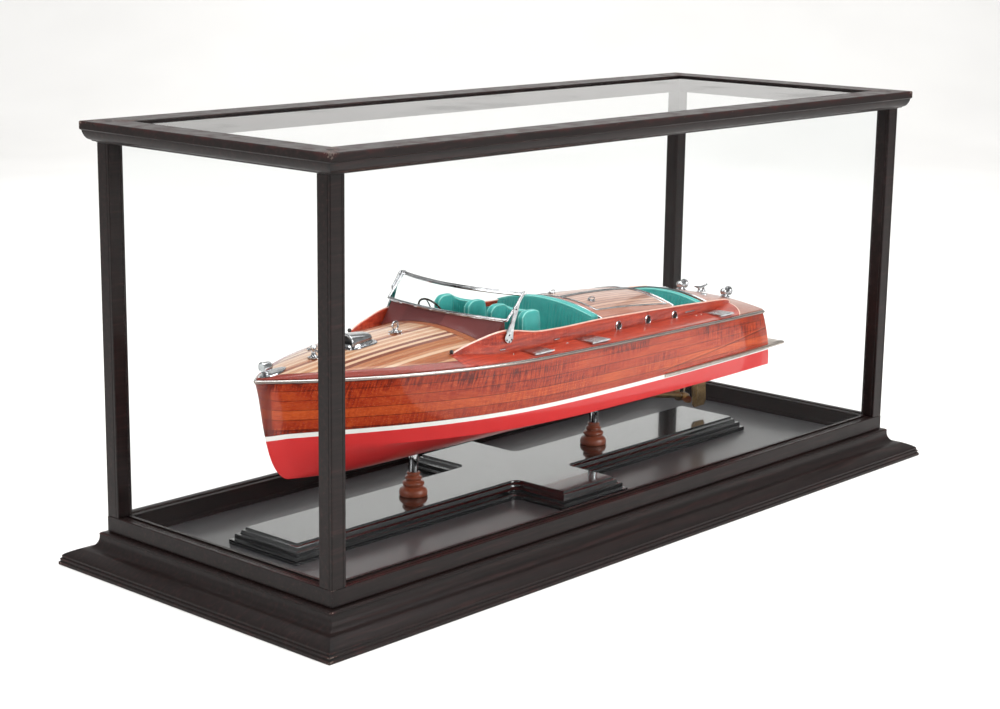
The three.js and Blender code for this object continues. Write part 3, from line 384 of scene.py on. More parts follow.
def paintPlain(name, light, dark, rough, coat=0.0, metal=0.0, scale=0.2, depth=0.15, coatRough=0.05):
    # one tone that drifts a little, with fine texture and faint rubbing
    finish = Finish(name)
    drift = finish.noise(finish.mm, scale, 5.0, 0.6)
    colour = finish.ramp(drift, (0.3, dark), (0.7, light))
    fine = finish.noise(finish.mm, scale * 9, 1.0)
    rub = finish.noise(finish.stretched((0.02, 0.6, 0.3), (3, 1, 4)), 1.0, 2.0)
    normal = finish.bump(fine + rub * 0.4, depth, 0.0001)
    return finish.surface(Base_Color=colour, Roughness=rough + rub * 0.08, Metallic=metal, Coat_Weight=coat,
        Coat_Roughness=coatRough, Normal=normal)


def paintFloor():
    # satin dark paint with light dust and faint wiping marks
    finish = Finish("caseFloorPaint")
    cloud = finish.noise(finish.mm, 0.012, 5.0)
    wipe = finish.noise(finish.stretched((0.01, 0.14, 0.1), (5, 0, 0), (0, 0, 0.3)), 1.0, 4.0)
    dust = finish.noise(finish.mm, 1.6, 2.0).step(0.68, 0.76)
    colour = finish.ramp(cloud * 0.5 + wipe * 0.5, (0.3, tint(50, 49, 50)), (0.7, tint(70, 69, 70)))
    colour = finish.mix(dust * 0.25, colour, tint(120, 118, 116))
    normal = finish.bump(finish.noise(finish.mm, 0.8, 1.0), 0.06, 0.0001)
    return finish.surface(Base_Color=colour, Roughness=0.34 + wipe * 0.14, Coat_Weight=0.5,
        Coat_Roughness=0.18, Normal=normal)


def paintClear(name, tone):
    # a thin clear sheet: light passes straight, gloss grows towards a glancing view, and smear dulls it
    finish = Finish(name)
    smear = finish.noise(finish.stretched((0.012, 0.012, 0.02), (2, 0, 0), (0, 0.4, 0)), 1.0, 5.0).step(0.5,
        0.75)
    through = finish.node("ShaderNodeBsdfTransparent", {}, {"Color": tone})
    gloss = finish.node("ShaderNodeBsdfGlossy", {"distribution": "GGX"},
        {"Color": (1, 1, 1, 1), "Roughness": 0.02})
    facing = finish.node("ShaderNodeLayerWeight", {}, {"Blend": 0.5}).also("Facing")
    outside = 1 - finish.node("ShaderNodeNewGeometry").also("Backfacing")
    shine = facing.math("POWER", 6.0) * (0.95 - smear * 0.2) * outside
    both = finish.node("ShaderNodeMixShader", {}, {0: shine, 1: through, 2: gloss})
    finish.node("ShaderNodeOutputMaterial", {}, {"Surface": both})
    return finish.material


def paintMetal(name, colour, dark, rough):
    # bare metal whose tone drifts a little, with faint lines from polishing fore and aft
    finish = Finish(name)
    drift = finish.noise(finish.mm, 0.15, 4.0)
    line = finish.noise(finish.stretched((0.05, 1.2, 1.2)), 1.0, 3.0)
    tone = finish.ramp(drift, (0.35, dark), (0.65, colour))
    normal = finish.bump(line + finish.noise(finish.mm, 0.9, 2.0), 0.05, 0.0003)
    return finish.surface(Base_Color=tone, Metallic=1.0, Roughness=rough + drift * 0.06, Normal=normal)


def paintRail():
    # bright along its top, a warm satin band below whose darker colour is painted shade on the rail's
    # underside
    finish = Finish("rubRailMetal")
    lower = finish.mark("edge").step(2.3, 2.6)
    drift = finish.noise(finish.mm, 0.12, 4.0)
    # the lower band's darker colour is painted shade
    colour = finish.mix(lower, (0.6, 0.56, 0.53, 1), (0.36, 0.3, 0.27, 1))
    colour = finish.mix(drift * 0.3, colour, (0.34, 0.3, 0.28, 1))
    line = finish.noise(finish.stretched((0.05, 0.05, 1.4)), 1.0, 2.0)
    return finish.surface(Base_Color=colour, Metallic=1.0, Roughness=lower * 0.16 + 0.12 + drift * 0.08,
        Normal=finish.bump(line, 0.05, 0.0003))


def paintVinyl(name, light, dark):
    # upholstery vinyl: pebbled grain, darker between the pebbles, painted shade in the creases, and a gloss
    # that drifts a little
    finish = Finish(name)
    cells = finish.node("ShaderNodeTexVoronoi", {"feature": "DISTANCE_TO_EDGE"},
        {"Vector": finish.mm, "Scale": 1.9})
    pebble = cells.step(0.0, 0.22)
    crease = finish.mark("crease")
    drift = finish.noise(finish.mm, 0.09, 4.0)
    colour = finish.ramp(drift, (0.3, dark), (0.7, light))
    colour = finish.mix((1 - pebble) * 0.25, colour, dark)
    # the creases' darker teal is painted shade
    colour = finish.mix(crease * 0.75, colour, tint(8, 74, 70))
    normal = finish.bump(pebble - crease * 1.5, 0.25, 0.0004)
    return finish.surface(Base_Color=colour, Roughness=0.42 + drift * 0.14, Coat_Weight=0.15,
        Coat_Roughness=0.3, Sheen_Weight=0.2, Sheen_Roughness=0.5, Normal=normal)


paints = {
    "hull": paintHull(), "deck": paintDeck(), "red": paintRed(),
    "aftDeck": paintPlanked("aftDeckVarnish", tint(124, 70, 60), tint(176, 122, 102), tint(84, 44, 38),
        30.0, 5.0, 0.3), "hatch": paintPlanked("hatchInlay", tint(148, 104, 88), tint(204, 164, 142),
        tint(74, 34, 28), 6.2, 8.0, 0.9, half=0.4), "cowl": paintPlanked("cowlVeneer", tint(78, 32, 32),
        tint(112, 54, 52), tint(56, 22, 22), 60.0, 2.0, 0.1, coat=0.2),
    "sole": paintPlanked("solePlanks", tint(132, 86, 48), tint(184, 132, 80), tint(50, 30, 20), 9.0, 1.0,
        0.8, 0.3), "ebony": paintEbony(), "floor": paintFloor(),
    "pane": paintClear("casePane", (0.985, 0.99, 0.99, 1)),
    "shield": paintClear("windshieldSheet", (0.93, 0.95, 0.95, 1)),
    "piano": paintPlain("pianoLacquer", tint(24, 24, 25), tint(14, 14, 15), 0.12, 1.0, 0.0, 0.05, 0.02,
        0.02), "rosewood": paintPlanked("turnedRosewood", tint(96, 40, 26), tint(156, 84, 58),
        tint(60, 22, 14), 50.0, 3.0, 0.1), "chrome": paintMetal("polishedChrome", (0.56, 0.56, 0.57, 1),
        (0.4, 0.4, 0.41, 1), 0.07), "rail": paintRail(),
    "brass": paintMetal("agedBrass", (0.4, 0.26, 0.12, 1), (0.24, 0.15, 0.07, 1), 0.36),
    "nickel": paintMetal("satinNickel", (0.66, 0.58, 0.52, 1), (0.5, 0.43, 0.38, 1), 0.28),
    # a pale pink tone painted as the highlight along the boards' rounded top
    "highlightStrip": paintPlain("paintedHighlightStrip", tint(236, 196, 180), tint(212, 164, 146), 0.3, 0.6),
    "steel": paintMetal("groundSteel", (0.62, 0.62, 0.64, 1), (0.45, 0.45, 0.47, 1), 0.26),
    "black": paintPlain("satinBlack", tint(36, 36, 38), tint(22, 22, 24), 0.42, 0.2),
    "wrap": paintPlain("batteryWrap", tint(38, 74, 150), tint(26, 54, 122), 0.3, 0.5),
    "teal": paintVinyl("tealVinyl", tint(46, 172, 164), tint(30, 148, 142)),
    "piping": paintVinyl("palePiping", tint(150, 222, 212), tint(116, 204, 194)),
    "rim": paintPlain("wheelRim", tint(60, 34, 26), tint(36, 20, 16), 0.2, 0.8),
    "dial": paintPlain("dialFace", tint(224, 220, 204), tint(206, 200, 182), 0.4, 0.3),
}
print("materials ready:", len(paints))


# shapes
def gridFaces(rows, columns, closeRows=False, closeColumns=False, start=0):
    # quads of a grid of points; a closed direction joins its last line to its first
    i = np.arange(rows if closeRows else rows - 1)[:, None]
    j = np.arange(columns if closeColumns else columns - 1)[None, :]
    nextRow, nextColumn = (i + 1) % rows, (j + 1) % columns
    corners = (i * columns + j, nextRow * columns + j, nextRow * columns + nextColumn,
        i * columns + nextColumn)
    shape = (i.size, j.size)
    return (np.stack([np.broadcast_to(c, shape) for c in corners], -1).reshape(-1, 4) + start).tolist()


def points(*axes):
    # arrays of x, y and z, spread over one shared grid
    return np.stack(np.broadcast_arrays(*[np.asarray(a, float) for a in axes]), -1)


def sheetPart(grid, closeRows=False, closeColumns=False, caps=()):
    # a grid of points as it is; caps close the first or last row with one flat face
    rows, columns = grid.shape[:2]
    faces = gridFaces(rows, columns, closeRows, closeColumns)
    if "first" in caps:
        faces.append(list(range(columns)))
    if "last" in caps:
        faces.append(list(range((rows - 1) * columns, rows * columns)))
    return grid.reshape(-1, 3), faces


def platePart(top, under, closeRows=False, closeColumns=False, ends=True):
    # a closed plate: two grids of the same size, joined by a strip of quads round their open rims
    rows, columns = top.shape[:2]
    count = rows * columns
    index = np.arange(count).reshape(rows, columns)
    faces = gridFaces(rows, columns, closeRows, closeColumns)
    faces += [[d, c, b, a] for a, b, c, d in gridFaces(rows, columns, closeRows, closeColumns, count)]
    rims = []
    if not closeColumns:
        rims += [(index[:, 0], closeRows), (index[:, -1], closeRows)]
    if not closeRows and ends:
        rims += [(index[0], closeColumns), (index[-1], closeColumns)]
    for line, closed in rims:
        a, b = line, np.roll(line, -1)
        if not closed:
            a, b = a[:-1], b[:-1]
        faces += np.stack([a, b, b + count, a + count], 1).tolist()
    return np.concatenate([top.reshape(-1, 3), under.reshape(-1, 3)]), faces


def unit(vectors):
    # vectors divided by their own lengths
    return vectors / np.maximum(np.linalg.norm(vectors, axis=-1, keepdims=True), 1e-9)


def smoothLine(knots, at):
    # a smooth cubic through [position, value] knots, its slope at a knot the mean of its neighbours'
    knots = np.asarray(knots, float)
    knots = knots[np.argsort(knots[:, 0])]
    s, v = knots[:, 0], knots[:, 1]
    slope = np.gradient(v, s)
    at = np.clip(np.asarray(at, float), s[0], s[-1])
    i = np.clip(np.searchsorted(s, at) - 1, 0, len(s) - 2)
    span = s[i + 1] - s[i]
    t = (at - s[i]) / span
    rise = t * t * (3 - 2 * t)
    return (v[i] * (1 - rise) + v[i + 1] * rise + span
        * (slope[i] * t * (1 - t) ** 2 - slope[i + 1] * t * t * (1 - t)))


def smoothPath(knots, count):
    # points at even steps along a smooth curve through knots
    knots = np.array(knots, float)
    length = np.r_[0, np.cumsum(np.linalg.norm(np.diff(knots, axis=0), axis=1))]
    at = np.linspace(0, length[-1], count)
    return np.stack([smoothLine(np.c_[length, knots[:, k]], at) for k in range(3)], 1)


def carried(path, profile, up=(0, 0, 1), closed=False, scale=None, caps=True):
    # a closed profile of (sideways, upwards) points carried square to a path
    path = np.asarray(path, float)
    ahead = np.roll(path, -1, 0) - np.roll(path, 1, 0) if closed else np.gradient(path, axis=0)
    ahead = unit(ahead)
    side = unit(np.cross(ahead, np.broadcast_to(up, ahead.shape)))
    lift = np.cross(side, ahead)
    size = np.ones(len(path)) if scale is None else np.asarray(scale, float)
    flat = np.asarray(profile, float)
    grid = (path[:, None] + size[:, None,
            None] * (flat[None, :, :1] * side[:, None] + flat[None, :, 1:] * lift[:, None]))
    if closed:
        return sheetPart(grid, True, True)
    return sheetPart(grid, False, True, ("first", "last") if caps else ())


def around(count):
    # even angles round a full turn, without the last, which is the first again
    return np.linspace(0, 2 * np.pi, count, endpoint=False)


def circle(radius, sides=12, squash=1.0):
    # a ring of points, cosine and sine of even angles; squash flattens it upwards
    turn = around(sides)
    return np.stack([radius * np.cos(turn), radius * squash * np.sin(turn)], 1)


def tube(path, radius, sides=12, up=(0, 0, 1), rounded=True):
    # a round bar along a path; its ends swell as quarter circles
    path = np.asarray(path, float)
    if not rounded:
        return carried(path, circle(radius, sides), up)
    turn = np.linspace(0, np.pi / 2, 4)
    first, last = unit(path[0] - path[1]), unit(path[-1] - path[-2])
    nose = path[0] + radius * np.sin(turn)[::-1, None] * first
    tail = path[-1] + radius * np.sin(turn)[:, None] * last
    size = np.r_[np.cos(turn)[::-1], np.ones(len(path) - 2), np.cos(turn)]
    return carried(np.concatenate([nose, path[1:-1], tail]), circle(radius, sides), up, False, size, False)


def squareTo(axis):
    # the axis as a unit vector and two more, square to it and to each other
    axis = unit(np.asarray(axis, float))
    side = unit(np.cross(axis, (0.31, 0.95, 0.02) if abs(axis[1]) < 0.9 else (1, 0, 0.1)))
    return axis, side, np.cross(axis, side)


def turnedPart(profile, centre, axis=(0, 0, 1), sides=40):
    # (radius, distance along the axis) points turned about an axis through centre
    axis, side, other = squareTo(axis)
    profile = np.asarray(profile, float)
    a = around(sides)[None, :, None]
    r, d = profile[:, 0][:, None, None], profile[:, 1][:, None, None]
    grid = np.asarray(centre, float) + d * axis + r * (np.cos(a) * side + np.sin(a) * other)
    return sheetPart(grid, False, True)


def ringPart(centre, axis, radius, thick, sides=40):
    # a torus: a small circle carried round a large one
    axis, side, other = squareTo(axis)
    a = around(sides)[:, None]
    path = np.asarray(centre, float) + radius * (np.cos(a) * side + np.sin(a) * other)
    return carried(path, circle(thick, 10), axis, True)


def blockPart(centre, half, radius, steps=3):
    # a box with round edges: each corner is an eighth of a sphere set out to the inner box's corner
    quarter = np.linspace(0, np.pi / 2, steps + 1)
    lon = np.concatenate([quarter + k * np.pi / 2 for k in range(4)])[None]
    lat = np.concatenate([quarter - np.pi / 2, quarter])[:, None]
    signX = np.repeat([1, -1, -1, 1], steps + 1)[None]
    signY = np.repeat([1, 1, -1, -1], steps + 1)[None]
    signZ = np.repeat([-1, 1], steps + 1)[:, None]
    inner = np.asarray(half, float) - radius
    grid = points(signX * inner[0] + radius * np.cos(lat) * np.cos(lon),
        signY * inner[1] + radius * np.cos(lat) * np.sin(lon),
        signZ * inner[2] + radius * np.sin(lat)) + np.asarray(centre, float)
    verts, faces = sheetPart(grid, False, True)
    corner = np.arange(4) * (steps + 1)
    faces += [corner[::-1].tolist(), (corner + (grid.shape[0] - 1) * grid.shape[1]).tolist()]
    return verts, faces


def slabPart(outline, low, high, way=lambda a, b, h: points(a, b, h)):
    # a flat outline of (a, b) points given height between two levels
    outline = np.asarray(outline, float)
    grid = np.stack([way(outline[:, 0], outline[:, 1], h) for h in (low, high)])
    return barPart(grid)


def mirrored(part):
    # the same part with its sideways axis turned over
    verts, faces = part
    return verts * (1, -1, 1), faces


def bothSides(parts):
    # the parts and their mirror images across the boat's middle
    return parts + [mirrored(part) for part in parts]


bothHands = (("Port", lambda part: part), ("Starboard", mirrored))


def barPart(grid):
    # rows of a closed section, with a flat face over the first and the last
    return sheetPart(grid, False, True, ("first", "last"))


def makePiece(name, parts, finish, slotName, body="root", stands=(), marks=None, place=boatSide, sharp=32.0,
    bevel=0.0):
    # parts in millimetres become one object in metres, merged, facing outwards, riding its body
    verts, faces, start = [], [], 0
    for partVerts, partFaces in parts:
        verts.append(np.asarray(partVerts, float))
        faces += [[k + start for k in face] for face in partFaces]
        start += len(partVerts)
    verts = np.concatenate(verts)
    mesh = bpy.data.meshes.new(name)
    mesh.from_pydata(((verts + place) * 0.001).tolist(), [], faces)
    for mark, value in (marks or {}).items():
        layer = mesh.attributes.new(mark, "FLOAT", "POINT")
        layer.data.foreach_set("value", np.broadcast_to(value(verts), len(verts)).astype(np.float32))
    work = bmesh.new()
    work.from_mesh(mesh)
    bmesh.ops.remove_doubles(work, verts=work.verts, dist=2e-6)
    bmesh.ops.dissolve_degenerate(work, edges=work.edges, dist=1e-6)
    bmesh.ops.recalc_face_normals(work, faces=work.faces)
    work.to_mesh(mesh)
    work.free()
    mesh.shade_smooth()
    mesh.set_sharp_from_angle(angle=np.radians(sharp))
    piece = bpy.data.objects.new(name, mesh)
    bpy.context.scene.collection.objects.link(piece)
    piece.data.materials.append(paints[finish])
    if bevel:
        edge = piece.modifiers.new("roundEdges", "BEVEL")
        edge.width = bevel * 0.001
        edge.segments = 2
        edge.limit_method = "ANGLE"
        edge.angle_limit = np.radians(35)
        edge.harden_normals = True
    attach(piece, body)
    if stands:
        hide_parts(*stands)
    return piece


def brightPiece(name, parts, **more):
    # a piece in polished metal
    return makePiece(name, parts, "chrome", "chrome_trim", **more)


def blackPiece(name, parts):
    # a piece in satin black
    return makePiece(name, parts, "black", "black_plastic")


def vinylPiece(name, parts, **more):
    # a piece in the seats' vinyl
    return makePiece(name, parts, "teal", "turquoise_vinyl", sharp=80, **more)


def pipingPiece(name, parts):
    # a piece in the seats' paler cord
    return makePiece(name, parts, "piping", "turquoise_vinyl")


# display case
case = {
    "hoodX": 470.7, "hoodY": 169.0, "baseX": 508.0, "baseY": 205.0, "topX": 482.4, "topY": 181.3,
    "post": 18.0, "railTop": 52.4, "gap": 0.3, "baseTop": 35.1, "top": 458.8, "under": 437.8,
}
middle = (0.0, 0.0, 0.0)


def rectangleRing(profile):
    # profile points (half length, half width, height, wear) round a rectangle, denser near its corners
    count = 14
    part = (1 - np.cos(np.linspace(0, np.pi, count, endpoint=False))) / 2
    corners = np.array([(1, 1), (-1, 1), (-1, -1), (1, -1)], float)
    walk = np.concatenate([a + (b - a) * part[:, None] for a, b in zip(corners, np.roll(corners, -1, 0))])
    grid = np.stack([points(hx * walk[:, 0], hy * walk[:, 1], np.full(len(walk), z))
            for hx, hy, z, _ in profile])
    wear = np.repeat([w for *_, w in profile], len(walk))
    return sheetPart(grid, True, True), wear


def offMitre(v, halfX, halfY):
    # how far a point is from the line where two lengths of moulding meet at a corner
    return np.abs((halfX - np.abs(v[:, 0])) - (halfY - np.abs(v[:, 1])))


def mitred(name, profile, stands, body):
    # a mitred frame, worn most at its outer corners
    part, wear = rectangleRing(profile)
    hx, hy = profile[0][0], profile[0][1]
    corner = lambda v: np.exp(-offMitre(v, hx, hy) / 3.0)
    meeting = lambda v: np.clip(1.6 - offMitre(v, hx, hy) / 0.35, 0, 1)
    makePiece(name, [part], "ebony", "ebony_wood", body, stands, place=middle, sharp=26,
        marks={"wear": lambda v: wear + 0.45 * corner(v), "mitre": meeting})


def buildCase():
    g, inX, inY = case["gap"], case["hoodX"] - case["post"], case["hoodY"] - case["post"]
    # (how far it stands out, height, wear) from the foot up: grooves, convex roll, cove, top bead
    foot = [(36.6, 0, .2), (37, .5, .8), (37, 3.0, .9), (36.2, 3.6, .3), (35.5, 4.2, .1), (35.5, 4.8, .2),
        (35.9, 5.6, .9), (35.8, 6.7, .8), (34.9, 7.3, .2), (34.2, 7.8, .1), (34.5, 8.8, .8), (34.4, 10, .8)]
    roll = [(34.4 - 14.9 * t ** 1.15, 10 + 7.6 * t ** 0.86, 0.25 * (1 - t)) for t in np.linspace(.1, 1, 9)]
    cove = [(19.5 - 13.1 * np.sin(t * np.pi / 2) ** 0.8, 17.6 + 13 * (1 - np.cos(t * np.pi / 2)), 0.0)
        for t in np.linspace(.12, 1, 10)]
    bead = [(6.3, 31.8, .35), (6.6, 32.4, .7), (6.5, 33.4, .8), (5.6, 34.4, .8), (4.2, 35.0, .4),
        (2, 35.1, .1)]
    kx, ky = (case["baseX"] - case["hoodX"]) / 37, (case["baseY"] - case["hoodY"]) / 37
    outer = [(case["hoodX"] + d * kx, case["hoodY"] + d * ky, z, w)
        for d, z, w in foot + roll + cove + bead]
    ledge = 17.7
    inner = [(inX, inY, 35.1, .1), (inX, inY, ledge, 0), (inX - 22, inY - 22, ledge, 0),
        (inX - 22, inY - 22, 0, 0)]
    mitred("caseBase", outer + inner, ["base_moulding"], "root")
    hx, hy, low, high = case["hoodX"], case["hoodY"], case["baseTop"] + g, case["railTop"]
    rail = [(hx - .5, hy - .5, low, .2), (hx, hy, low + .6, .5), (hx, hy, high - .7, .7),
        (hx - .6, hy - .6, high, .9), (hx - 4.6, hy - 4.6, high, .5), (hx - 5, hy - 5, high - .5, .1),
        (hx - 5.6, hy - 5.6, high, .4), (inX + 5.6, inY + 5.6, high, .3), (inX + 5, inY + 5, high - .5, .1),
        (inX + 4.6, inY + 4.6, high, .6), (inX + .6, inY + .6, high, .6), (inX, inY, high - .6, .3),
        (inX, inY, low, .1)]
    mitred("hoodRail", rail, ["hood_bottom_rail"], "hood")
    tx, ty, top, under = case["topX"], case["topY"], case["top"], case["under"]
    over = tx - hx
    crown = [(.9, top, .9), (0, top - .9, 1.0), (0, 450.9, .6), (.5, 450.3, .7), (1.6, 449.6, .1),
        (1.8, 448.2, .4), (2.3, 446.4, .2), (3.2, 444.2, .1), (4.4, 442.2, .1), (5.9, 440.7, .1),
        (8.0, 439.9, .1), (8.4, 439.5, .6), (8.6, 438.9, .4), (over - .6, 438.4, .1), (over, under, .1),
        (35.4, under, .2), (36, under + .6, .3), (36, 453.2, 0), (31, 453.2, 0), (31, 456.8, 0),
        (36, 456.8, 0), (36, top - .7, .4), (35.3, top, .9)]
    mitred("topFrame", [(tx - d, ty - d, z, w) for d, z, w in crown], ["top_frame"], "hood")


def buildPosts():
    # a square post with eased edges and a fine groove beside each outer corner, carried straight up
    half, cut, groove = 9.0, 0.7, 0.45
    side = [(-half + cut, -half), (half - 4.2, -half), (half - 3.8, -half + groove), (half - 3.4, -half),
        (half - cut, -half)]
    outline = np.array([np.array([(x, y), (-y, x), (-x, -y), (y, -x)][k]) for k in range(4)
            for x, y in side])
    z = np.linspace(case["railTop"] + case["gap"], case["under"] - case["gap"], 24)
    for end, sx in (("bow", 1), ("stern", -1)):
        for sideName, sy in (("port", 1), ("starboard", -1)):
            cx, cy = sx * (case["hoodX"] - half), sy * (case["hoodY"] - half)
            grid = points(cx + outline[None, :, 0], cy + outline[None, :, 1], z[:, None])
            # worn where the corner is, by how far a point is from the post's middle
            edge = lambda v, cx=cx, cy=cy: np.clip(
                (np.hypot(v[:, 0] - cx, v[:, 1] - cy) - 11.4) / 1.2, 0, 1) * 0.75
            name = "post_" + end + "_" + sideName
            makePiece("casePost" + end.capitalize() + sideName.capitalize(), [barPart(grid)], "ebony",
                "ebony_wood", "hood", [name], {"wear": edge}, middle, 26)


def buildGlazing():
    # slim beads hold each pane, on its inner face, along the rail and the top frame
    hx, hy = case["hoodX"] - 9, case["hoodY"] - 9
    bead = np.array([(0, 0), (1.6, 0), (1.6, 0.7), (0.9, 1.5), (0, 1.7)])
    parts = []
    low, high = case["railTop"], case["under"]
    for sign in (1, -1):
        for z, flip in ((low, 1), (high, -1)):
            longRun = points(np.array([-hx + 9.3, hx - 9.3]), sign * (hy - 1.6), z)
            cross = points(sign * (hx - 1.6), np.array([-hy + 9.3, hy - 9.3]), z)
            parts.append(carried(longRun, bead * (sign, flip)))
            parts.append(carried(cross, bead * (-sign, flip)))
    makePiece("paneBeads", parts, "ebony", "ebony_wood", "hood", (), {"wear": lambda v: 0.55}, middle, 26)
    # round wooden plugs over the frame's corner fixings
    plugs = [turnedPart([(0, 0.5), (2.6, 0.45), (3.6, 0.2), (3.75, -0.6), (0, -0.6)],
            (sx * 462, sy * 160, case["top"]), sides=24) for sx in (1, -1) for sy in (1, -1)]
    makePiece("cornerPlugs", plugs, "ebony", "ebony_wood", "hood", (), {"wear": lambda v: 0.2}, middle)


buildCase()
buildPosts()
buildGlazing()


def dress(names, finish):
    # a CAD node keeps its shape and takes a finish
    for name in names:
        nodes[name].data.materials.clear()
        nodes[name].data.materials.append(paints[finish])


dress(["floor_panel"], "floor")
dress(["pane_top", "pane_bow", "pane_stern", "pane_port", "pane_starboard"], "pane")
print("case ready")

# stand
stand = {
    "aft": -345.0, "fore": 388.0, "half": 39.0, "armAft": -25.0, "armFore": 60.0, "armHalf": 108.0,
    "fillet": 10.0, "steps": [(12, 30.4), (12, 34.6), (11.5, 35.2), (8.6, 35.4), (8, 36), (8, 40.2),
        (7.2, 41), (4.4, 41.2), (3.5, 42.2), (3.2, 44.2), (2.2, 45.2), (0.7, 45.5), (0.2, 46), (0, 47.4),
        (-0.5, 48)],
}


def crossOutline(grow):
    # a cross whose inner corners are quarter arcs, grown outwards; every growth has the same points
    s = stand
    x0, x1, h = s["aft"] - grow, s["fore"] + grow, s["half"] + grow
    a0, a1, ah, r = s["armAft"] - grow, s["armFore"] + grow, s["armHalf"] + grow, s["fillet"]
    arc = np.linspace(0, np.pi / 2, 9)
    corner = lambda cx, cy, sx, sy: np.stack([cx + sx * r * np.cos(arc), cy + sy * r * np.sin(arc)], 1)
    return np.concatenate([
        [(x1, -h), (x1, h)], corner(a1 + r, h + r, -1, -1)[::-1], [(a1, ah), (a0, ah)],
        corner(a0 - r, h + r, 1, -1), [(x0, h), (x0, -h)], corner(a0 - r, -h - r, 1, 1)[::-1],
        [(a0, -ah), (a1, -ah)], corner(a1 + r, -h - r, -1, 1)])


def buildStand():
    # the cross in steps, then pedestals and rods turned about upright axes
    grid = np.stack([points(*crossOutline(g).T, z) for g, z in stand["steps"]])
    makePiece("standBoard", [barPart(grid)], "piano", "stand_black", stands=["stand_board"], sharp=40)
    profile = [(0, 0), (15, 0), (15.5, .8), (15.6, 3.2), (15.2, 5.4), (14.2, 7.2), (12.6, 8.6), (10.9, 9.4),
        (10.2, 10), (10.4, 10.7), (11.6, 11.6), (12.1, 13), (11.8, 14.4), (10.6, 15.6), (9, 16.2),
        (8.2, 16.7), (8.2, 17.2), (9, 18), (9.3, 19.1), (8.9, 20.3), (7.8, 21.2), (6.6, 21.7), (6.3, 22.3),
        (6.5, 22.9), (7.3, 23.4), (7.5, 24.3), (7.2, 25.2), (6.4, 25.7), (5.5, 25.7), (5.3, 17), (0, 17)]
    heads = [(s, z + 48.3) for s, z in profile]
    for end, x in (("Fore", 184), ("Aft", -120)):
        makePiece("pedestal" + end, [turnedPart(heads, (x, 0, 0), sides=56)], "rosewood", "rosewood",
            stands=["pedestal_" + end.lower()], sharp=50)
        rod = [(0, 65.5), (5, 65.5), (5.25, 65.9), (5.25, 98.6), (4.8, 100), (0, 100)]
        brightPiece("pedestalRod" + end, [turnedPart(rod, (x, 0, 0), sides=32)],
            stands=["pedestal_rod_" + end.lower()])


buildStand()
print("stand ready")

# hull
hull = {
    "wall": 3.5, "bow": 404.4, "transomTop": -336.0, "transom": -345.0, "stemChine": 386.4,
    "stemKeel": 364.1, "rim": 3.3, "rows": 150, "sideSteps": 14, "bottomSteps": 12,
    "stemX": [403.5, 399.4, 394.7, 386.4, 375.5, 364.1], "stemZ": [209.5, 184.9, 152.8, 126, 108.4, 101.9],
    # half-breadth at its widest and at the transom, the two powers it eases by, and where it is widest
    "sheerPlan": (112, 85.35, 2.028, 0.88, 88.4), "chinePlan": (100, 91.25, 3.074, 1.323, -60),
    # level at the transom, climb, and a term in the square
    "sheerLevel": (193.66, 29.905, -10.873), "chineLevel": (124.54, 3.671, 22.522), "keelLevel": (94, 8),
    # the deck's middle: its level, how far it falls to the bow and how far to the stern
    "crown": (234, 21.3, 34),
}


def ease(low, high, v):
    # 0 below low, 1 above high, and 3t squared less 2t cubed between
    t = np.clip((v - low) / (high - low), 0, 1)
    return t * t * (3 - 2 * t)


def breadth(x, full, transom, power, keep, widest, bow):
    # half-breadth: full at one station, easing away to the bow and, by a square, to the transom
    toBow = np.clip((x - widest) / (bow - widest), 0, 1)
    toStern = np.clip((widest - x) / (widest - hull["transom"]), 0, None)
    return np.where(x > widest, full * (1 - toBow ** power) ** keep, full - (full - transom) * toStern ** 2)


def sheerHalf(x):
    # the half-breadth at the sheer
    return breadth(np.asarray(x, float), *hull["sheerPlan"], hull["bow"])


def chineHalf(x):
    # the half-breadth at the chine
    return breadth(np.asarray(x, float), *hull["chinePlan"], hull["stemChine"])


def sheerZ(x):
    # the sheer's height: a parabola from transom to stem
    u = (np.asarray(x, float) - hull["transom"]) / (hull["bow"] - hull["transom"])
    level, climb, bend = hull["sheerLevel"]
    return level + climb * u + bend * u * u


def chineZ(x):
    # the chine's height: a straight line that turns up as a square forward
    u = (x - hull["transom"]) / (hull["stemChine"] - hull["transom"])
    level, climb, bend = hull["chineLevel"]
    return level + climb * u + bend * np.maximum(u - 0.45, 0) ** 2


def keelZ(x):
    # the keel's height: level, then rising as a square to the stem
    level, climb = hull["keelLevel"]
    return level + climb * (np.maximum(x - 250, 0) / (hull["stemKeel"] - 250)) ** 2


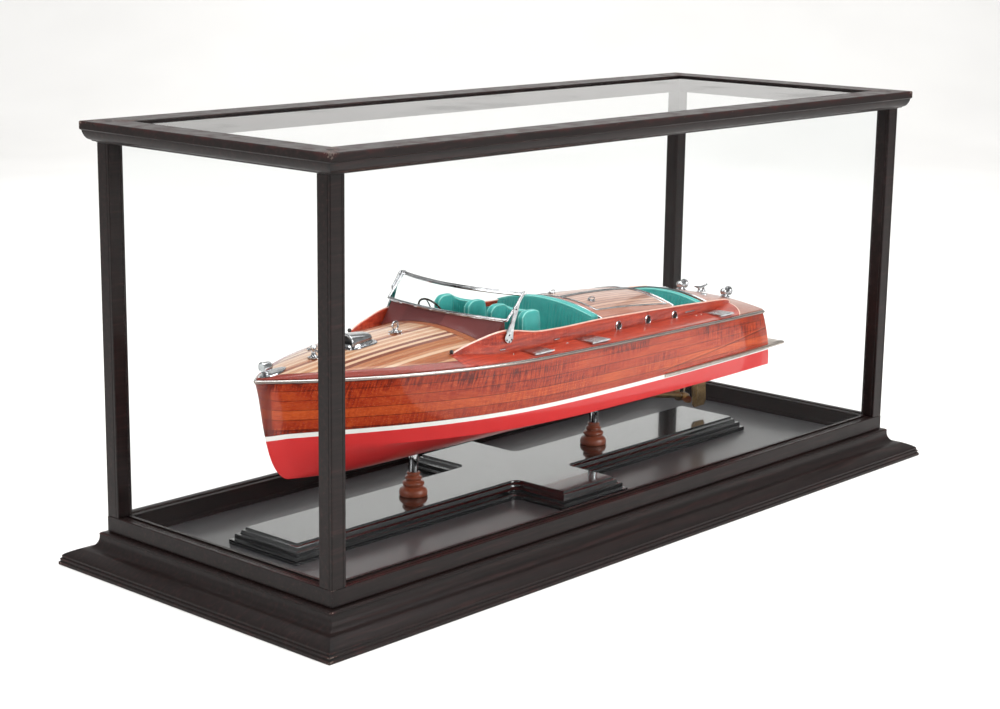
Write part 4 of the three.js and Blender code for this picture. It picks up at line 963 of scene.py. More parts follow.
def hullGrid(t, v, inset=0.0):
    # t runs 0 at the transom to 1 at the stem, v 0 at the keel, 1 at the chine and 2 at the sheer:
    # stations are straight lines between keel, chine and sheer, bowed a little, and the last few
    # ease into the stem's own curve
    t, v = np.broadcast_arrays(np.asarray(t, float), np.asarray(v, float))
    span = lambda a, b: a + (b - a) * t
    xs, xc, xk = (span(hull["transomTop"], hull["bow"]), span(hull["transom"], hull["stemChine"]),
        span(hull["transom"], hull["stemKeel"]))
    bow = ease(0.55, 0.95, t)
    low, s = np.clip(v, 0, 1), np.clip(v - 1, 0, 1)
    power = 1.12 + 0.58 * bow
    bulge = (2.5 - 4.5 * bow) * 4 * s * (1 - s) * np.minimum(1, (1 - t) * 8)
    y = np.where(v <= 1, chineHalf(xc) * low, chineHalf(xc) * (1 - s) + sheerHalf(xs) * s + bulge)
    zc, rim = chineZ(xc), sheerZ(xs) - hull["rim"]
    z = np.where(v <= 1, keelZ(xk) + (zc - keelZ(xk)) * low ** power, zc + (rim - zc) * s)
    x = np.where(v <= 1, xk + (xc - xk) * low, xc + (xs - xc) * s ** 1.5)
    along = np.linspace(0, 1, 6)
    stemX = np.polyval(np.polyfit(along, hull["stemX"], 4), 1 - v / 2)
    stemZ = np.minimum(np.polyval(np.polyfit(along, hull["stemZ"], 4), 1 - v / 2),
        sheerZ(hull["bow"]) - hull["rim"])
    blend = ease(0.975, 1.0, t)
    x, z = x + (stemX - x) * blend, z + (stemZ - z) * blend
    z = z + inset * np.where(v <= 1, 1, 1 - s)
    return x, np.maximum(y - inset, 0), z


def hullSkin(t, w, inset):
    # both sides of the section at each t; w draws the transom's rows in to the middle line
    v = np.r_[np.linspace(2, 1, hull["sideSteps"] + 1), np.linspace(1, 0, hull["bottomSteps"] + 1)[1:]]
    x, y, z = hullGrid(t[:, None], v[None, :], inset)
    y = y * w[:, None]
    port = points(x, y, z)
    starboard = port[:, -2::-1] * (1, -1, 1)
    return np.concatenate([port, starboard], 1)


def buildHull():
    # an outer and an inner skin, joined round the sheer; both start as a flat transom
    t = np.r_[np.zeros(8), 1 - (1 - np.linspace(0, 1, hull["rows"])) ** 1.35]
    w = np.r_[np.linspace(0, 1, 9)[:-1], np.ones(hull["rows"])]
    outer = hullSkin(t, w, 0.0)
    inset = hull["wall"] + 12 * ease(0.93, 0.985, t)
    inner = hullSkin(np.minimum(t, 0.985), w, inset[:, None])
    inner[..., 0] += 4 * (1 - ease(0.0, 0.02, t))[:, None]
    v = np.r_[np.linspace(2, 1, hull["sideSteps"] + 1), np.linspace(1, 0, hull["bottomSteps"] + 1)[1:]]
    lift = np.tile(np.r_[v, v[-2::-1]], len(t) * 2)
    inside = np.repeat([0.0, 1.0], len(lift) // 2)
    makePiece("hullShell", [platePart(outer, inner, ends=False)], "hull", "hull_mahogany", stands=["hull"],
        marks={"lift": lambda _: lift, "inside": lambda _: inside}, sharp=30)


buildHull()

# decks
deck = {
    "thick": 3.0, "hatchFore": -53.0, "hatchAft": -176.0, "hatchOuterFore": 55.0, "hatchOuterAft": 62.0,
    "cockpitFore": 152.0, "cockpitAft": -42.0, "rearFore": -183.0, "rearAft": -256.0,
}
coaming = {
    "half": [(208, 76), (172, 82), (141, 86.6), (86, 85), (49, 82.5), (-30, 77.4), (-122, 71.5),
        (-237, 64.2), (-300, 60), (-336, 57.8)], "top": [(208, 219), (190, 225.4), (172, 230), (150, 234.6),
        (137, 235.6), (119, 233), (86, 227), (49, 224.5), (-30, 222.7), (-122, 218.5), (-237, 212),
        (-300, 207.5), (-320, 205), (-330, 200.8), (-336, 197.4)], "thick": 3.2, "fore": 207.6,
    "aft": -303.0, "roundFrom": -288.0,
}


def coamingHalf(x):
    # how far out the board stands: a smooth curve through its knots
    return smoothLine(coaming["half"], x)


def coamingTop(x):
    # the height of the board's top: a smooth curve through its knots
    return smoothLine(coaming["top"], x)


def crownZ(x):
    # the deck's middle line: level amidships, falling by squares to both ends
    level, toBow, toStern = hull["crown"]
    return (level - toBow * (np.maximum(x - 100, 0) / 304.4) ** 2
            - toStern * (np.maximum(-60 - x, 0) / 285) ** 2)


def deckZ(x, y):
    # camber: the crown's height less a square of how far out the point is
    half = np.maximum(sheerHalf(x), 1)
    return sheerZ(x) + (crownZ(x) - sheerZ(x)) * (1 - np.minimum(np.abs(y) / half, 1) ** 2)


def sideDeckZ(x, y):
    # a parabola across from the sheer to the board, blended into the main deck at both ends
    half, inner = sheerHalf(x), coamingHalf(x)
    blend = np.maximum(ease(120, 208, x), ease(-256, -303, x))
    rise = 2.5 + (deckZ(x, inner) - sheerZ(x) - 2.5) * blend
    return sheerZ(x) + rise * (1 - np.minimum(y / half, 1) ** 2) / (1 - (inner / half) ** 2)


def innerSpan(x):
    # the room between the boards, from the middle line out
    return coamingHalf(x) - coaming["thick"] / 2 - 0.3


def deckPart(x, y, height=deckZ):
    # a plate under the deck's surface, of one thickness
    z = height(x, y)
    return platePart(points(x, y, z), points(x, y, z - deck["thick"]))


def buildDecks():
    across = np.linspace(-1, 1, 45)[None]
    x = (404.0 - (404.0 - 208) * (1 - np.linspace(0, 1, 70)) ** 1.5)[:, None]
    forward = deckPart(x, across * sheerHalf(x))
    x = np.linspace(deck["cockpitFore"], 208, 20)[:, None]
    between = deckPart(x, across * innerSpan(x))
    cowlEdge = lambda v: np.hypot(v[:, 0] - 157 + 5 * (v[:, 1] / 86) ** 2,
        np.maximum(np.abs(v[:, 1]) - 84, 0))
    # the planks taper a little towards the bow, so their seams close in with the sheer
    taper = lambda v: v[:, 1] * (1 + 0.16 * np.clip((v[:, 0] - 152) / 250, 0, 1))
    makePiece("foredeckPlanks", [forward, between], "deck", "deck_planks", stands=["foredeck"],
        marks={"across": taper, "edge": lambda v: sheerHalf(v[:, 0]) - np.abs(v[:, 1]), "margin": cowlEdge})
    x = np.linspace(coaming["fore"], coaming["aft"], 130)[:, None]
    inner = coamingHalf(x) + coaming["thick"] / 2 + 0.3
    y = inner + (sheerHalf(x) - inner) * np.linspace(0, 1, 9)[None]
    strip = deckPart(x, y, sideDeckZ)
    for side, part in (("Port", strip), ("Starboard", mirrored(strip))):
        makePiece("sideDeck" + side, [part], "red", "red_mahogany", stands=["side_deck_" + side.lower()])
    x = np.linspace(deck["rearAft"], coaming["aft"], 18)[:, None]
    ahead = deckPart(x, across * innerSpan(x))
    x = np.linspace(coaming["aft"], hull["transomTop"], 14)[:, None]
    behind = deckPart(x, across * sheerHalf(x))
    makePiece("sternDeck", [ahead, behind], "aftDeck", "hull_mahogany", stands=["stern_deck"])


def buildEngineDeck():
    # a plate round the hatch opening: each ring point runs from the opening's edge to the deck's edge
    count = 40
    t = np.linspace(0, 1, count, endpoint=False)

    def loop(fore, aft, halfAt):
        x = fore + (aft - fore) * t
        back = fore + aft - x
        return np.concatenate([np.stack([x, halfAt(x)], 1),
                np.stack([0 * t + aft, halfAt(aft) * (1 - 2 * t)], 1), np.stack([back, -halfAt(back)], 1),
                np.stack([0 * t + fore, halfAt(fore) * (2 * t - 1)], 1)])

    hole = loop(deck["hatchFore"] + 0.5, deck["hatchAft"] - 0.5, lambda x: leafEdge(x) + 0.6)
    rim = loop(deck["cockpitAft"], deck["rearFore"], innerSpan)
    plan = hole[None] + (rim - hole)[None] * np.linspace(0, 1, 6)[:, None, None]
    x, y = plan[..., 0], plan[..., 1]
    z = deckZ(x, y)
    part = platePart(points(x, y, z), points(x, y, z - deck["thick"]), closeColumns=True)
    makePiece("engineDeck", [part], "aftDeck", "hull_mahogany", stands=["engine_deck"])


def leafEdge(x):
    # the outer edge of a hatch leaf: a straight line between its two ends
    t = (x - deck["hatchFore"]) / (deck["hatchAft"] - deck["hatchFore"])
    return deck["hatchOuterFore"] + (deck["hatchOuterAft"] - deck["hatchOuterFore"]) * t


def buildHatches():
    # a leaf follows the deck; a bright strip carried round its edge stands a little proud
    x = np.linspace(deck["hatchFore"], deck["hatchAft"], 40)[:, None]
    y = 0.7 + (leafEdge(x) - 0.7) * np.linspace(0, 1, 14)[None]
    leaf = deckPart(x, y)
    n = 30
    t = np.linspace(0, 1, n, endpoint=False)
    corner = np.array([(deck["hatchFore"] - 1.4, 2.1), (deck["hatchAft"] + 1.4, 2.1),
            (deck["hatchAft"] + 1.4, leafEdge(deck["hatchAft"]) - 1.4),
            (deck["hatchFore"] - 1.4, leafEdge(deck["hatchFore"]) - 1.4)])
    walk = np.concatenate([a + (b - a) * t[:, None] for a, b in zip(corner, np.roll(corner, -1, 0))])
    path = points(walk[:, 0], walk[:, 1], deckZ(walk[:, 0], walk[:, 1]) + 0.2)
    bead = np.array([(-1.4, -0.3), (-1.35, 0.35), (-0.8, 0.72), (0, 0.85), (0.8, 0.72), (1.35, 0.35),
            (1.4, -0.3)])
    border = carried(path, bead, closed=True)
    # a lift ring lies on a small round plate near the leaf's fore edge
    at = (-74.0, 30.0)
    lie = deckZ(*at)
    slope = np.array([0, (deckZ(at[0], at[1] + 1) - deckZ(at[0], at[1] - 1)) / 2])
    up = unit(np.array([0, -slope[1], 1.0]))
    base = turnedPart([(0, 0), (4.4, 0), (4.4, .5), (3.6, .9), (0, 1.0)], (*at, lie + 0.1), up, 28)
    ring = ringPart((at[0], at[1], lie + 2.2), up + np.array([.5, 0, 0]), 3.6, 0.6, 32)
    stem = tube([(at[0] + 3, at[1], lie + .6), (at[0] + 3, at[1], lie + 1.6),
            (at[0] + 3.2, at[1], lie + 2.4)], 0.9, 10)
    for side, turn in bothHands:
        name = "hatch_" + side.lower()
        makePiece("hatchLeaf" + side, [turn(leaf)], "hatch", "hull_mahogany", name, [name])
        brightPiece("hatchBorder" + side, [turn(border)], body=name)
        brightPiece("hatchRing" + side, [turn(p) for p in (base, ring, stem)], body=name)


def buildCoamings():
    # a board on edge: a rounded strip of section carried from the fore tip; a quarter ellipse ends it aft
    bend = coaming["roundFrom"]
    x = np.r_[coaming["fore"] - 0.4 * np.arange(3), np.linspace(205, bend, 150),
        bend - 15 * np.sin(np.linspace(0.1, 1.55, 14))]
    low = sideDeckZ(x, coamingHalf(x)) - np.where(x < bend, 2.6, 11.0)
    foot = deckZ(x, coamingHalf(x)) - 0.6
    tail = np.sqrt(np.clip(1 - (np.clip(bend - x, 0, 15) / 15) ** 2, 0, 1))
    top = np.where(x < bend, foot + (coamingTop(x) - foot) * tail, coamingTop(x))
    half = coaming["thick"] / 2
    turn = np.linspace(0, np.pi, 9)
    profileY = np.r_[half, half * np.cos(turn), -half]
    rise = np.r_[0, np.sin(turn) * 1.2, 0]
    z = np.where((np.arange(len(profileY)) % (len(profileY) - 1) == 0)[None], low[:, None],
        top[:, None] - 1.2 + rise[None])
    grid = points(x[:, None], coamingHalf(x)[:, None] + profileY[None], z)
    board = barPart(grid)
    for side, part in (("Port", board), ("Starboard", mirrored(board))):
        makePiece("coaming" + side, [part], "red", "red_mahogany", stands=["coaming_" + side.lower()])
    # a pale strip along the boards' top is a painted highlight of their rounded top edge
    run = slice(3, -3)
    line = points(x[run], coamingHalf(x)[run] + 0.4, top[run] - 0.2)
    highlightStrip = tube(line, 1.05, 10)
    makePiece("coamingHighlightStrip", bothSides([highlightStrip]), "highlightStrip", "red_mahogany")
    # a small dark knob caps each board's fore tip
    knob = turnedPart([(0, -2.2), (1.6, -1.8), (2.3, 0), (1.6, 1.8), (0, 2.3)],
        (206, float(coamingHalf(206)), 221.4), sides=20)
    blackPiece("coamingKnobs", bothSides([knob]))


buildDecks()
buildEngineDeck()
buildHatches()
buildCoamings()
print("hull and decks ready")


# bright rails
rails = {"rubLow": -5.0, "rubHigh": -1.2, "level": 148.0}


def outwardOf(path):
    # level, and square to a path on its right hand
    ahead = np.gradient(path, axis=0)
    return unit(points(ahead[:, 1], -ahead[:, 0], 0))


def sheerPath():
    # the sheer from the starboard quarter round the stem to the port quarter, and the way out along it
    t = 1 - (1 - np.linspace(0, 1, 90)) ** 1.7
    x = hull["transomTop"] + (hull["bow"] - hull["transomTop"]) * t
    half = points(x, sheerHalf(x), sheerZ(x))
    both = np.concatenate([half * (1, -1, 1), half[-2::-1]])
    return both, outwardOf(both)


def buildRails():
    # a half-round section carried along the sheer
    both, out = sheerPath()
    low, high = rails["rubLow"], rails["rubHigh"]
    turn = np.linspace(-np.pi / 2, np.pi / 2, 9)
    depth = np.r_[0.6, 0.6 + 2.3 * np.cos(turn) ** 0.7, 0.6]
    level = np.r_[low, (low + high) / 2 + (high - low) / 2 * np.sin(turn), high]
    grid = both[:, None] + out[:, None] * depth[None, :, None] + points(0, 0, level)[None]
    below = lambda v: sheerZ(v[:, 0]) - v[:, 2]
    makePiece("rubRail", [barPart(grid)], "rail", "chrome_trim", stands=["rub_rail"], sharp=50,
        marks={"edge": below})
    # the spray strip follows the topside at one level and widens aft into the plate behind the transom
    t = np.linspace(0.305, 0.0, 50)
    v = np.linspace(1, 2, 200)
    x, y, z = hullGrid(t[:, None], v[None])
    at = np.argmax(z >= rails["level"], axis=1)
    rows = np.arange(len(t))
    edge = points(x[rows, at], y[rows, at], rails["level"])
    far = np.linspace(0, 1, 8)[1:, None]
    tail = edge[-1] + (np.array([-373, edge[-1, 1] - 2, rails["level"]]) - edge[-1]) * far
    edge = np.concatenate([edge, tail])
    outward = outwardOf(edge)
    grow = np.linspace(2, 5, len(edge))[:, None]
    turn = np.linspace(-np.pi / 2, np.pi / 2, 7)
    flat = np.full((len(edge), 1), 0.4)
    depth = np.concatenate([flat, grow * (0.6 + 0.4 * np.cos(turn)[None]), flat], 1)
    level = np.r_[-2, 2 * np.sin(turn), 2]
    strip = edge[:, None] + outward[:, None] * depth[..., None] + points(0, 0, level)[None]
    part = barPart(strip)
    wide = float(edge[len(t) - 1, 1]) + 2.5
    shelf = blockPart((-359.5, 0, rails["level"]), (13.5, wide, 2), 1.2, 3)
    makePiece("swimPlate", [part, mirrored(part), shelf], "nickel", "chrome_trim", stands=["swim_plate"])


buildRails()
print("rails ready")


# cowl, dash and windshield
shield = {
    "baseX": 134.8, "baseZ": 246.2, "baseHalf": 88.3, "topX": 109.6, "topZ": 272.2, "topHalf": 89.6,
    "baseBow": 11.0, "topBow": 17.0, "bar": 1.5,
}


def shieldPoint(s, across):
    # s rises 0 to 1 from the lower rail to the upper; across runs -1 to 1; both rails bow forward
    s, across = np.broadcast_arrays(np.asarray(s, float), np.asarray(across, float))
    swell = 1 - across ** 2
    x = (shield["baseX"] + shield["baseBow"] * swell) * (1 - s) + (shield["topX"] + shield["topBow"]
        * swell) * s
    half = shield["baseHalf"] * (1 - s) + shield["topHalf"] * s
    return points(x, across * half, shield["baseZ"] * (1 - s) + shield["topZ"] * s)


def cowlFront(y):
    # the panel's lower edge on the deck, and its upper edge under the windshield's rail
    top = shield["baseX"] + shield["baseBow"] * (1 - (y / shield["baseHalf"]) ** 2)
    return 157 - 5 * (y / 86) ** 2, top


def buildCowl():
    y = np.linspace(-82.6, 82.6, 61)
    lowX, topX = cowlFront(y)
    t = np.linspace(0, 1, 9)[None, :-1]
    low = deckZ(lowX, y) + 0.3
    # the face sags a little between deck and rail, then the section turns down behind as the dash
    faceX = lowX[:, None] + (topX - lowX)[:, None] * t
    faceZ = low[:, None] + (244.2 - low)[:, None] * t - 1.1 * np.sin(np.pi * t)
    dash = topX - 4.2
    backX = np.stack([topX, topX - 1.2, dash + 0.6, dash, dash - 1, dash - 2, dash + 1.2, dash + 2.2], 1)
    backX = np.concatenate([backX, np.full((len(y), 1), 151.4), lowX[:, None] - 4], 1)
    under = np.minimum(low, deckZ(152.0, y) - 3.4)
    backZ = np.concatenate([np.tile([244.2, 244.6, 244.5, 243.8, 230, 206, 206], (len(y), 1)),
            under[:, None] - 0.4, low[:, None], low[:, None]], 1)
    grid = points(np.concatenate([faceX, backX], 1), y[:, None], np.concatenate([faceZ, backZ], 1))
    makePiece("cowlPanel", [barPart(grid)], "cowl", "plum_wood", stands=["cowl_panel"], sharp=30)
    # a bright moulding along the panel's top edge, with the small clips that hold the sheet
    y = np.linspace(-84, 84, 61)
    top = cowlFront(y)[1]
    path = points(top + 0.2, y, 244.9)
    strip = carried(path, circle(1.0, 10, 1.1))
    clips = [blockPart((float(cowlFront(k)[1]) + 0.6, k, 245.4), (1.1, 2.2, 1.3), 0.5)
        for k in (-62, -36, -12, 14, 38, 62)]
    brightPiece("cowlMoulding", [strip, *clips])
    # three dials in bright bezels and a row of small switches on the dash
    bezels, faces, needles, knobs = [], [], [], []
    for k, radius in ((-40, 5.2), (0, 6.4), (26, 5.2), (42, 4.0)):
        x = float(cowlFront(k)[1]) - 4.9
        z = 232.0 if k != -40 else 236.0
        at = np.array([x, k, z])
        bezels.append(ringPart(at, (1, 0, 0.07), radius, 0.7, 36))
        faces.append(turnedPart([(0, 0.3), (radius, 0.3), (radius, -0.3), (0, -0.3)], at, (-1, 0, -0.07),
                32))
        needles.append(tube([at + (-0.7, 0, 0), at + (-0.7, radius * 0.5, radius * 0.55)], 0.22, 6))
        ticks = np.linspace(-2.2, 2.2, 9)
        for a in ticks:
            out = np.array([0, np.sin(a), np.cos(a)])
            needles.append(tube([at + (-0.5, 0, 0) + out * radius * 0.72,
                        at + (-0.5, 0, 0) + out * radius * 0.9], 0.14, 5))
    for k in (-20, -14, 12, 54, 60, 66):
        x = float(cowlFront(k)[1]) - 5.6
        knobs.append(turnedPart([(0, 2.4), (1.2, 2.2), (1.3, 1.2), (0.6, 0.8), (0.6, 0), (0, 0)],
                (x, k, 222), (-1, 0, 0), 16))
    brightPiece("dialBezels", bezels + knobs)
    makePiece("dialFaces", faces, "dial", "plum_wood")
    blackPiece("dialNeedles", needles)


def onDeck(x, y, lift):
    # a place on the main deck, or a little above it
    return x, y, float(deckZ(x, y)) + lift


def signedPower(wave, power):
    # a sine or cosine raised to a power with its sign kept: under 1 it squares the curve off
    return np.sign(wave) * np.abs(wave) ** power


def screwHead(at, axis, radius=1.0):
    # a domed head
    axis = unit(np.asarray(axis, float))
    return turnedPart([(0, radius * .45), (radius * .6, radius * .38), (radius, 0), (0, -.2)], at, axis, 14)


def buildWindshield():
    # bars carried round a frame whose two rails bow forward, a clear sheet, and side brackets
    across = np.linspace(-1, 1, 61)
    bars = [tube(shieldPoint(0, across), 1.6, 12), tube(shieldPoint(1, across), shield["bar"], 12)]
    for side in (-1, 1):
        bars.append(tube(shieldPoint(np.linspace(0, 1, 8), side), 1.5, 12, (1, 0, 0)))
    # a flat channel under the upper rail grips the clear sheet
    lip = np.array([(-0.9, -3.0), (0.9, -3.0), (0.9, 0), (-0.9, 0)])
    bars.append(carried(shieldPoint(1, across * 0.985), lip, (-0.7, 0, 0.72)))
    brightPiece("windshieldFrame", bars, stands=["windshield_frame"])
    s = np.linspace(0.05, 0.95, 6)[:, None]
    sheet = shieldPoint(s, across[None] * 0.975)
    part = platePart(sheet + (0.6, 0, 0), sheet - (0.6, 0, 0))
    makePiece("windshieldSheet", [part], "shield", "windshield_clear", stands=["windshield_glass"])
    # the side bracket: a round foot on the board, narrowing to an arm that leans back to the upper rail
    foot = np.array([(133 + 6.6 * np.cos(a), 228 + 6.4 * np.sin(a))
            for a in np.radians(np.linspace(160, 388, 20))])
    arm = np.array([(131.4, 243), (127.4, 253.4), (127.9, 256), (127.3, 259.4), (124, 261.6),
            (115.8, 272.6), (113.6, 274.6), (110.8, 274.4), (110.4, 272.4), (118.2, 262.4), (119.6, 257.6),
            (120.6, 253.6), (125.0, 242.4)])
    outline = np.concatenate([foot, arm])
    out = float(coamingHalf(133)) + coaming["thick"] / 2 + 0.3
    lean = lambda a, b, h: points(a, out + h + 0.03 * (b - 228), b)
    plate = slabPart(outline, 0, 1.9, lean)
    studs = [screwHead((x, out + 1.85 + 0.03 * (z - 228), z), (0, 1, 0), 1.15)
        for x, z in ((129.4, 225.4), (136.4, 225.6), (133, 223.4), (133, 230.6), (123.9, 257))]
    for side, turn in bothHands:
        brightPiece("windshieldBracket" + side, [turn(plate)],
            stands=["windshield_bracket_" + side.lower()], bevel=0.6)
        makePiece("bracketScrews" + side, [turn(p) for p in studs], "black", "steel")
    # a mirror-bright corner knuckle where the upper rail meets each arm
    knuckle = turnedPart([(0, -2.4), (2.1, -1.6), (2.6, 0), (2.1, 1.6), (0, 2.4)], shieldPoint(1, 1.0),
        (0, 0, 1), 20)
    brightPiece("railKnuckles", bothSides([knuckle]))


wheel = {"x": 116.0, "y": -40.0, "z": 234.5, "radius": 18.0, "rake": np.radians(30)}


def buildWheel():
    # a torus for the rim and three bent spokes, square to a raked axis
    axis = np.array([-np.cos(wheel["rake"]), 0, np.sin(wheel["rake"])])
    hub = np.array([wheel["x"], wheel["y"], wheel["z"]])
    side = np.array([0, 1.0, 0])
    rise = np.cross(axis, side) * -1
    makePiece("steeringRim", [ringPart(hub, axis, wheel["radius"], 1.15, 64)], "rim", "black_plastic",
        "wheel", ["steering_wheel"])
    parts = [turnedPart([(0, 2.4), (1.6, 2.2), (2.6, 1.5), (3, .4), (3, -1.6), (0, -1.7)], hub, axis, 28)]
    for a in np.radians((90, 210, 330)):
        out = side * np.cos(a) + rise * np.sin(a)
        path = [hub + out * r + axis * h for r, h in ((2, 0.2), (7, 0.9), (12, 0.9), (17.6, 0))]
        parts.append(tube(smoothPath(path, 14), 0.75, 10, axis))
    brightPiece("steeringSpokes", parts, body="wheel")
    column = [hub - axis * 13.2, hub - axis * 2.0]
    brightPiece("steeringColumn", [tube(column, 2.0, 20, (0, 1, 0), rounded=False),
            turnedPart([(2.1, 0), (3.4, .2), (3.4, 1.4), (2.4, 2.4), (2.1, 2.4)], hub - axis * 13.0, axis,
                24)], stands=["steering_column"])


buildCowl()
buildWindshield()
buildWheel()
print("windshield and helm ready")

# seats
bucket = {
    "y": 40.0, "half": 28.0, "wrap": 19.0, "back": 44.0, "front": 86.0, "base": 140.4, "low": 238.5,
    "wing": 245.5, "wall": 10.0,
}
puff = {"pressure": 4.0, "scale": 12.0, "frames": 20, "cap": 1.3, "quality": 5, "stiffness": 30}


def vertexRows(mesh, key):
    # one value of every vertex, such as its place or its normal, as rows of three
    rows = np.zeros(len(mesh.vertices) * 3)
    mesh.vertices.foreach_get(key, rows)
    return rows.reshape(-1, 3)


def swell(piece, voxel):
    # cloth with a little air in it: the pad is grown in scale, remeshed, blown up, capped and shrunk back
    work = piece.copy()
    work.data = piece.data.copy()
    work.parent = None
    work.modifiers.clear()
    bpy.context.scene.collection.objects.link(work)
    middle = vertexRows(work.data, "co").mean(0)
    work.data.transform(Matrix.Translation(Vector(-middle)))
    work.data.transform(Matrix.Scale(puff["scale"], 4))
    remesh = work.modifiers.new("voxels", "REMESH")
    remesh.mode = "VOXEL"
    remesh.voxel_size = voxel * puff["scale"] * 0.001
    bpy.context.view_layer.update()
    graph = bpy.context.evaluated_depsgraph_get()
    mesh = bpy.data.meshes.new_from_object(work.evaluated_get(graph))
    work.modifiers.clear()
    work.data = mesh
    rest = vertexRows(mesh, "co")
    cloth = work.modifiers.new("puff", "CLOTH")
    cloth.settings.use_pressure = True
    cloth.settings.uniform_pressure_force = puff["pressure"]
    cloth.settings.effector_weights.gravity = 0
    cloth.settings.quality = puff["quality"]
    cloth.settings.tension_stiffness = puff["stiffness"]
    cloth.settings.compression_stiffness = puff["stiffness"]
    for step in range(1, puff["frames"] + 1):
        bpy.context.scene.frame_set(step)
    graph = bpy.context.evaluated_depsgraph_get()
    blown = bpy.data.meshes.new_from_object(work.evaluated_get(graph))
    shift = vertexRows(blown, "co") - rest
    size = np.linalg.norm(shift, axis=1, keepdims=True)
    cap = puff["cap"] * puff["scale"] * 0.001
    shift = shift * np.minimum(1, cap / np.maximum(size, 1e-9))
    final = (rest + shift) / puff["scale"] + middle
    blown.vertices.foreach_set("co", final.ravel())
    blown.materials.clear()
    for material in piece.data.materials:
        blown.materials.append(material)
    blown.shade_smooth()
    piece.data = blown
    bpy.data.objects.remove(work)
    bpy.context.scene.frame_set(1)


def crownedPad(centre, half, radius, crown, rows=36, columns=44):
    # a closed pad: a square pulled round at its corners; top and underside bulge by the product of
    # two cosines, and the sides draw in between the corners
    u = np.linspace(-1, 1, columns)[None]
    v = np.linspace(-1, 1, rows)[:, None]
    x = half[0] * u * np.sqrt(1 - radius * v ** 8 / 2) * (1 - 0.02 * (1 - v ** 2) * np.abs(u) ** 8)
    y = half[1] * v * np.sqrt(1 - radius * u ** 8 / 2)
    edge = (1 - np.abs(u) ** 7) ** 0.45 * (1 - np.abs(v) ** 7) ** 0.45
    dome = np.cos(u * np.pi / 2) ** 0.5 * np.cos(v * np.pi / 2) ** 0.5
    top = half[2] * edge + crown * np.nan_to_num(dome)
    return points(centre[0] + x, centre[1] + y, centre[2] + top), points(centre[0] + x, centre[1] + y,
        centre[2] - half[2] * edge)


def channels(value, pitch, depth):
    # sewn channels: rounded ribs with a sharp valley every pitch
    return depth * (np.abs(np.sin(np.pi * value / pitch)) ** 0.55 - 1)


def padPiece(name, grids, voxel=1.6):
    piece = vinylPiece(name, [platePart(*grids)])
    swell(piece, voxel)
    return piece


def sewChannels(piece, pitch, depth, low, high):
    # presses sewn channels into the top of a pad, after its simulation, and marks their valleys, which take
    # painted shade
    mesh = piece.data
    place, normal = vertexRows(mesh, "co"), vertexRows(mesh, "normal")
    across = (place * 1000 - boatSide)[:, 1]
    facing = np.clip(normal[:, 2] * 1.6 - 0.5, 0, 1)
    inside = ease(low, low + 2, across) * (1 - ease(high - 2, high, across)) * facing
    rib = channels(across, pitch, depth)
    place += normal * (rib * inside * 0.001)[:, None]
    mesh.vertices.foreach_set("co", place.ravel())
    layer = mesh.attributes.get("crease") or mesh.attributes.new("crease", "FLOAT", "POINT")
    layer.data.foreach_set("value", (np.clip(-rib / depth - 0.45, 0, 1) * inside).astype(np.float32))
    mesh.update()


def refine(piece):
    # one even subdivision so that channels have enough points
    smooth = piece.modifiers.new("finer", "SUBSURF")
    smooth.levels = smooth.render_levels = 1
    graph = bpy.context.evaluated_depsgraph_get()
    mesh = bpy.data.meshes.new_from_object(piece.evaluated_get(graph))
    piece.modifiers.clear()
    piece.data = mesh


def wrapLine(half, back, front, wrap, count=120):
    # the bucket's plan: two straight arms joined by half an ellipse behind
    bend = np.linspace(np.pi / 2, 3 * np.pi / 2, count)
    curve = np.stack([back + wrap + wrap * np.cos(bend), half * np.sin(bend)], 1)
    left = np.stack([np.linspace(front, back + wrap, 16)[:-1], np.full(15, half)], 1)
    line = np.concatenate([left, curve, left[::-1] * (1, -1)])
    length = np.r_[0, np.cumsum(np.linalg.norm(np.diff(line, axis=0), axis=1))]
    at = np.linspace(0, length[-1], count)
    return np.stack([np.interp(at, length, line[:, k]) for k in (0, 1)], 1), at


